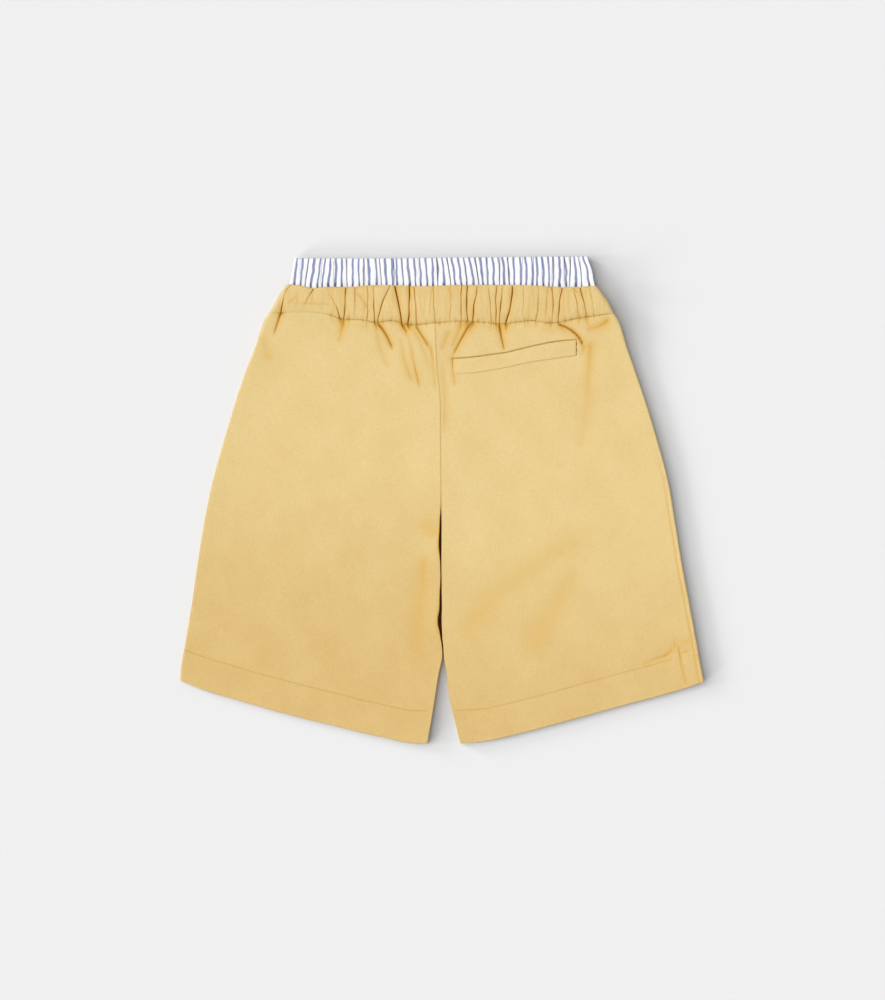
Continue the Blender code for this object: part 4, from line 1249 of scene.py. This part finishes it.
THREAD_LIFT = 0.17
THREAD_INSET = 0.26  # a casing stitch starts this far under the stitching's height
HEM_THREAD_INSET = 0.06
FRONT_LIFT = -0.08
FRONT_SINK = 0.1
TACK_SIDES = (102.3, 103.0)  # the tack that closes the pocket's right end
TACK_PITCH = 0.4
TACK_LIFT = 0.12


def stitch_places(first, last):
    """Where the stitches of a row start, and where they end."""
    start = first + STITCH_PITCH * np.arange(int((last - first) / STITCH_PITCH))
    return start, start + STITCH_PITCH * STITCH_SHOWN


def casing_stitch(x, back):
    """An end of a casing stitch."""
    if back:
        z = STITCH_HEIGHT - SUNK_THREAD * (1 - gathered(x)) - THREAD_INSET
    else:
        z = np.full(len(x), FRONT_STITCH_GROOVE - FRONT_SINK)
    return np.stack([x, stitch_y(x, back), z], axis=-1)


def hem_stitch(leg, x, back):
    """An end of a hem stitch."""
    y = hem_y(leg, x) + HEM_DEPTH
    if back:
        z = back_form(leg, x, y)[0] + (ripple(x, 0.0, "hem_thread") - HEM_THREAD_INSET)
    else:
        z = np.full(len(x), HEM_GROOVE)
    return np.stack([x, y, z], axis=-1)


def sew_shorts():
    """The stitching: the casing's and the hems' on both sides, and the pocket's tack."""
    thread = thread_material("ochre_thread", *SHADED_OCHRE_THREAD)
    casing_from = STITCH_START + STITCH_PITCH * (1 - STITCH_SHOWN) / 2
    for side, back, lift in (("back", True, THREAD_LIFT), ("front", False, FRONT_LIFT)):
        ends = [casing_stitch(x, back) for x in stitch_places(casing_from, -STITCH_START)]
        add_stitches(f"casing_stitches_{side}", *ends, lift, thread, CASING_THREAD)
        for leg in ("left", "right"):
            ends = [hem_stitch(leg, x, back) for x in stitch_places(*HEM_STITCHED[leg])]
            add_stitches(f"hem_stitches_{side}_{leg}", *ends, lift, thread)
    tack_y = np.arange(WELT["bottom"][-1] - 1.0, WELT["top"][-1] + 0.4, TACK_PITCH)
    ends = []
    for x in TACK_SIDES:
        x = np.full(len(tack_y), x)
        ends.append(np.stack([x, tack_y, back_form("right", x, tack_y)[0]], axis=-1))
    add_stitches("pocket_tack", *ends, TACK_LIFT, thread_material("pale_tack_highlight", *PALE_TACK_HIGHLIGHT))


sheets = make_shorts()
sew_shorts()


# ---- Floor, light and camera

FLOOR_HALF = 1500.0
FLOOR_LEVEL = -0.15
LOW_SUNS = (152, 184, 216)
CAMERA_HEIGHT = 1.795  # metres over the floor


def add_floor():
    """A plain surface under the shorts."""
    mesh = bpy.data.meshes.new("floor")
    corners = ((-1, -1), (1, -1), (1, 1), (-1, 1))
    mesh.from_pydata([(x * FLOOR_HALF * MM, y * FLOOR_HALF * MM, FLOOR_LEVEL * MM) for x, y in corners],
                     [], [(0, 1, 2, 3)])
    mesh.materials.append(floor_material())
    floor = put("floor", mesh)
    return floor


def add_sun(name, azimuth, elevation, spread, strength, receivers=None):
    """A soft distant light, from a compass angle where 0 is +X and 90 is +Y."""
    light = bpy.data.lights.new(name, "SUN")
    light.energy = strength
    light.angle = np.radians(spread)
    lamp = put(name, light)
    lamp.rotation_euler = (0, np.radians(90 - elevation), np.radians(azimuth))
    if receivers:
        lamp.light_linking.receiver_collection = receivers


def add_lights(floor):
    """Soft light from the left and above, and low light on the floor for its long soft shadow."""
    world = bpy.data.worlds.new("studio")
    bpy.context.scene.world = world
    world.use_nodes = True
    background = world.node_tree.nodes["Background"]
    background.inputs[0].default_value = (1, 1, 1, 1)
    background.inputs[1].default_value = 0.52
    floor_only = bpy.data.collections.new("floor_only")
    floor_only.objects.link(floor)
    cloth_only = bpy.data.collections.new("cloth_only")
    for cloth in sheets.values():
        cloth_only.objects.link(cloth)
    add_sun("key", 160, 50, 60, 2.2)
    add_sun("fill", -15, 14, 20, 0.45, cloth_only)
    for azimuth in LOW_SUNS:
        add_sun(f"low_{azimuth}", azimuth, 9.5, 9, 2.85, floor_only)
        add_sun(f"middle_{azimuth}", azimuth, 20, 24, 1.375, floor_only)


def add_camera():
    """The camera, straight above the shorts as in the photograph."""
    camera = bpy.data.cameras.new("camera")
    camera.lens = 85
    camera.sensor_fit = "VERTICAL"
    camera.sensor_height = 36
    holder = put("camera", camera)
    holder.location = (0, 0, CAMERA_HEIGHT)
    bpy.context.scene.camera = holder


add_lights(add_floor())
add_camera()
bpy.context.scene.view_settings.view_transform = "Standard"
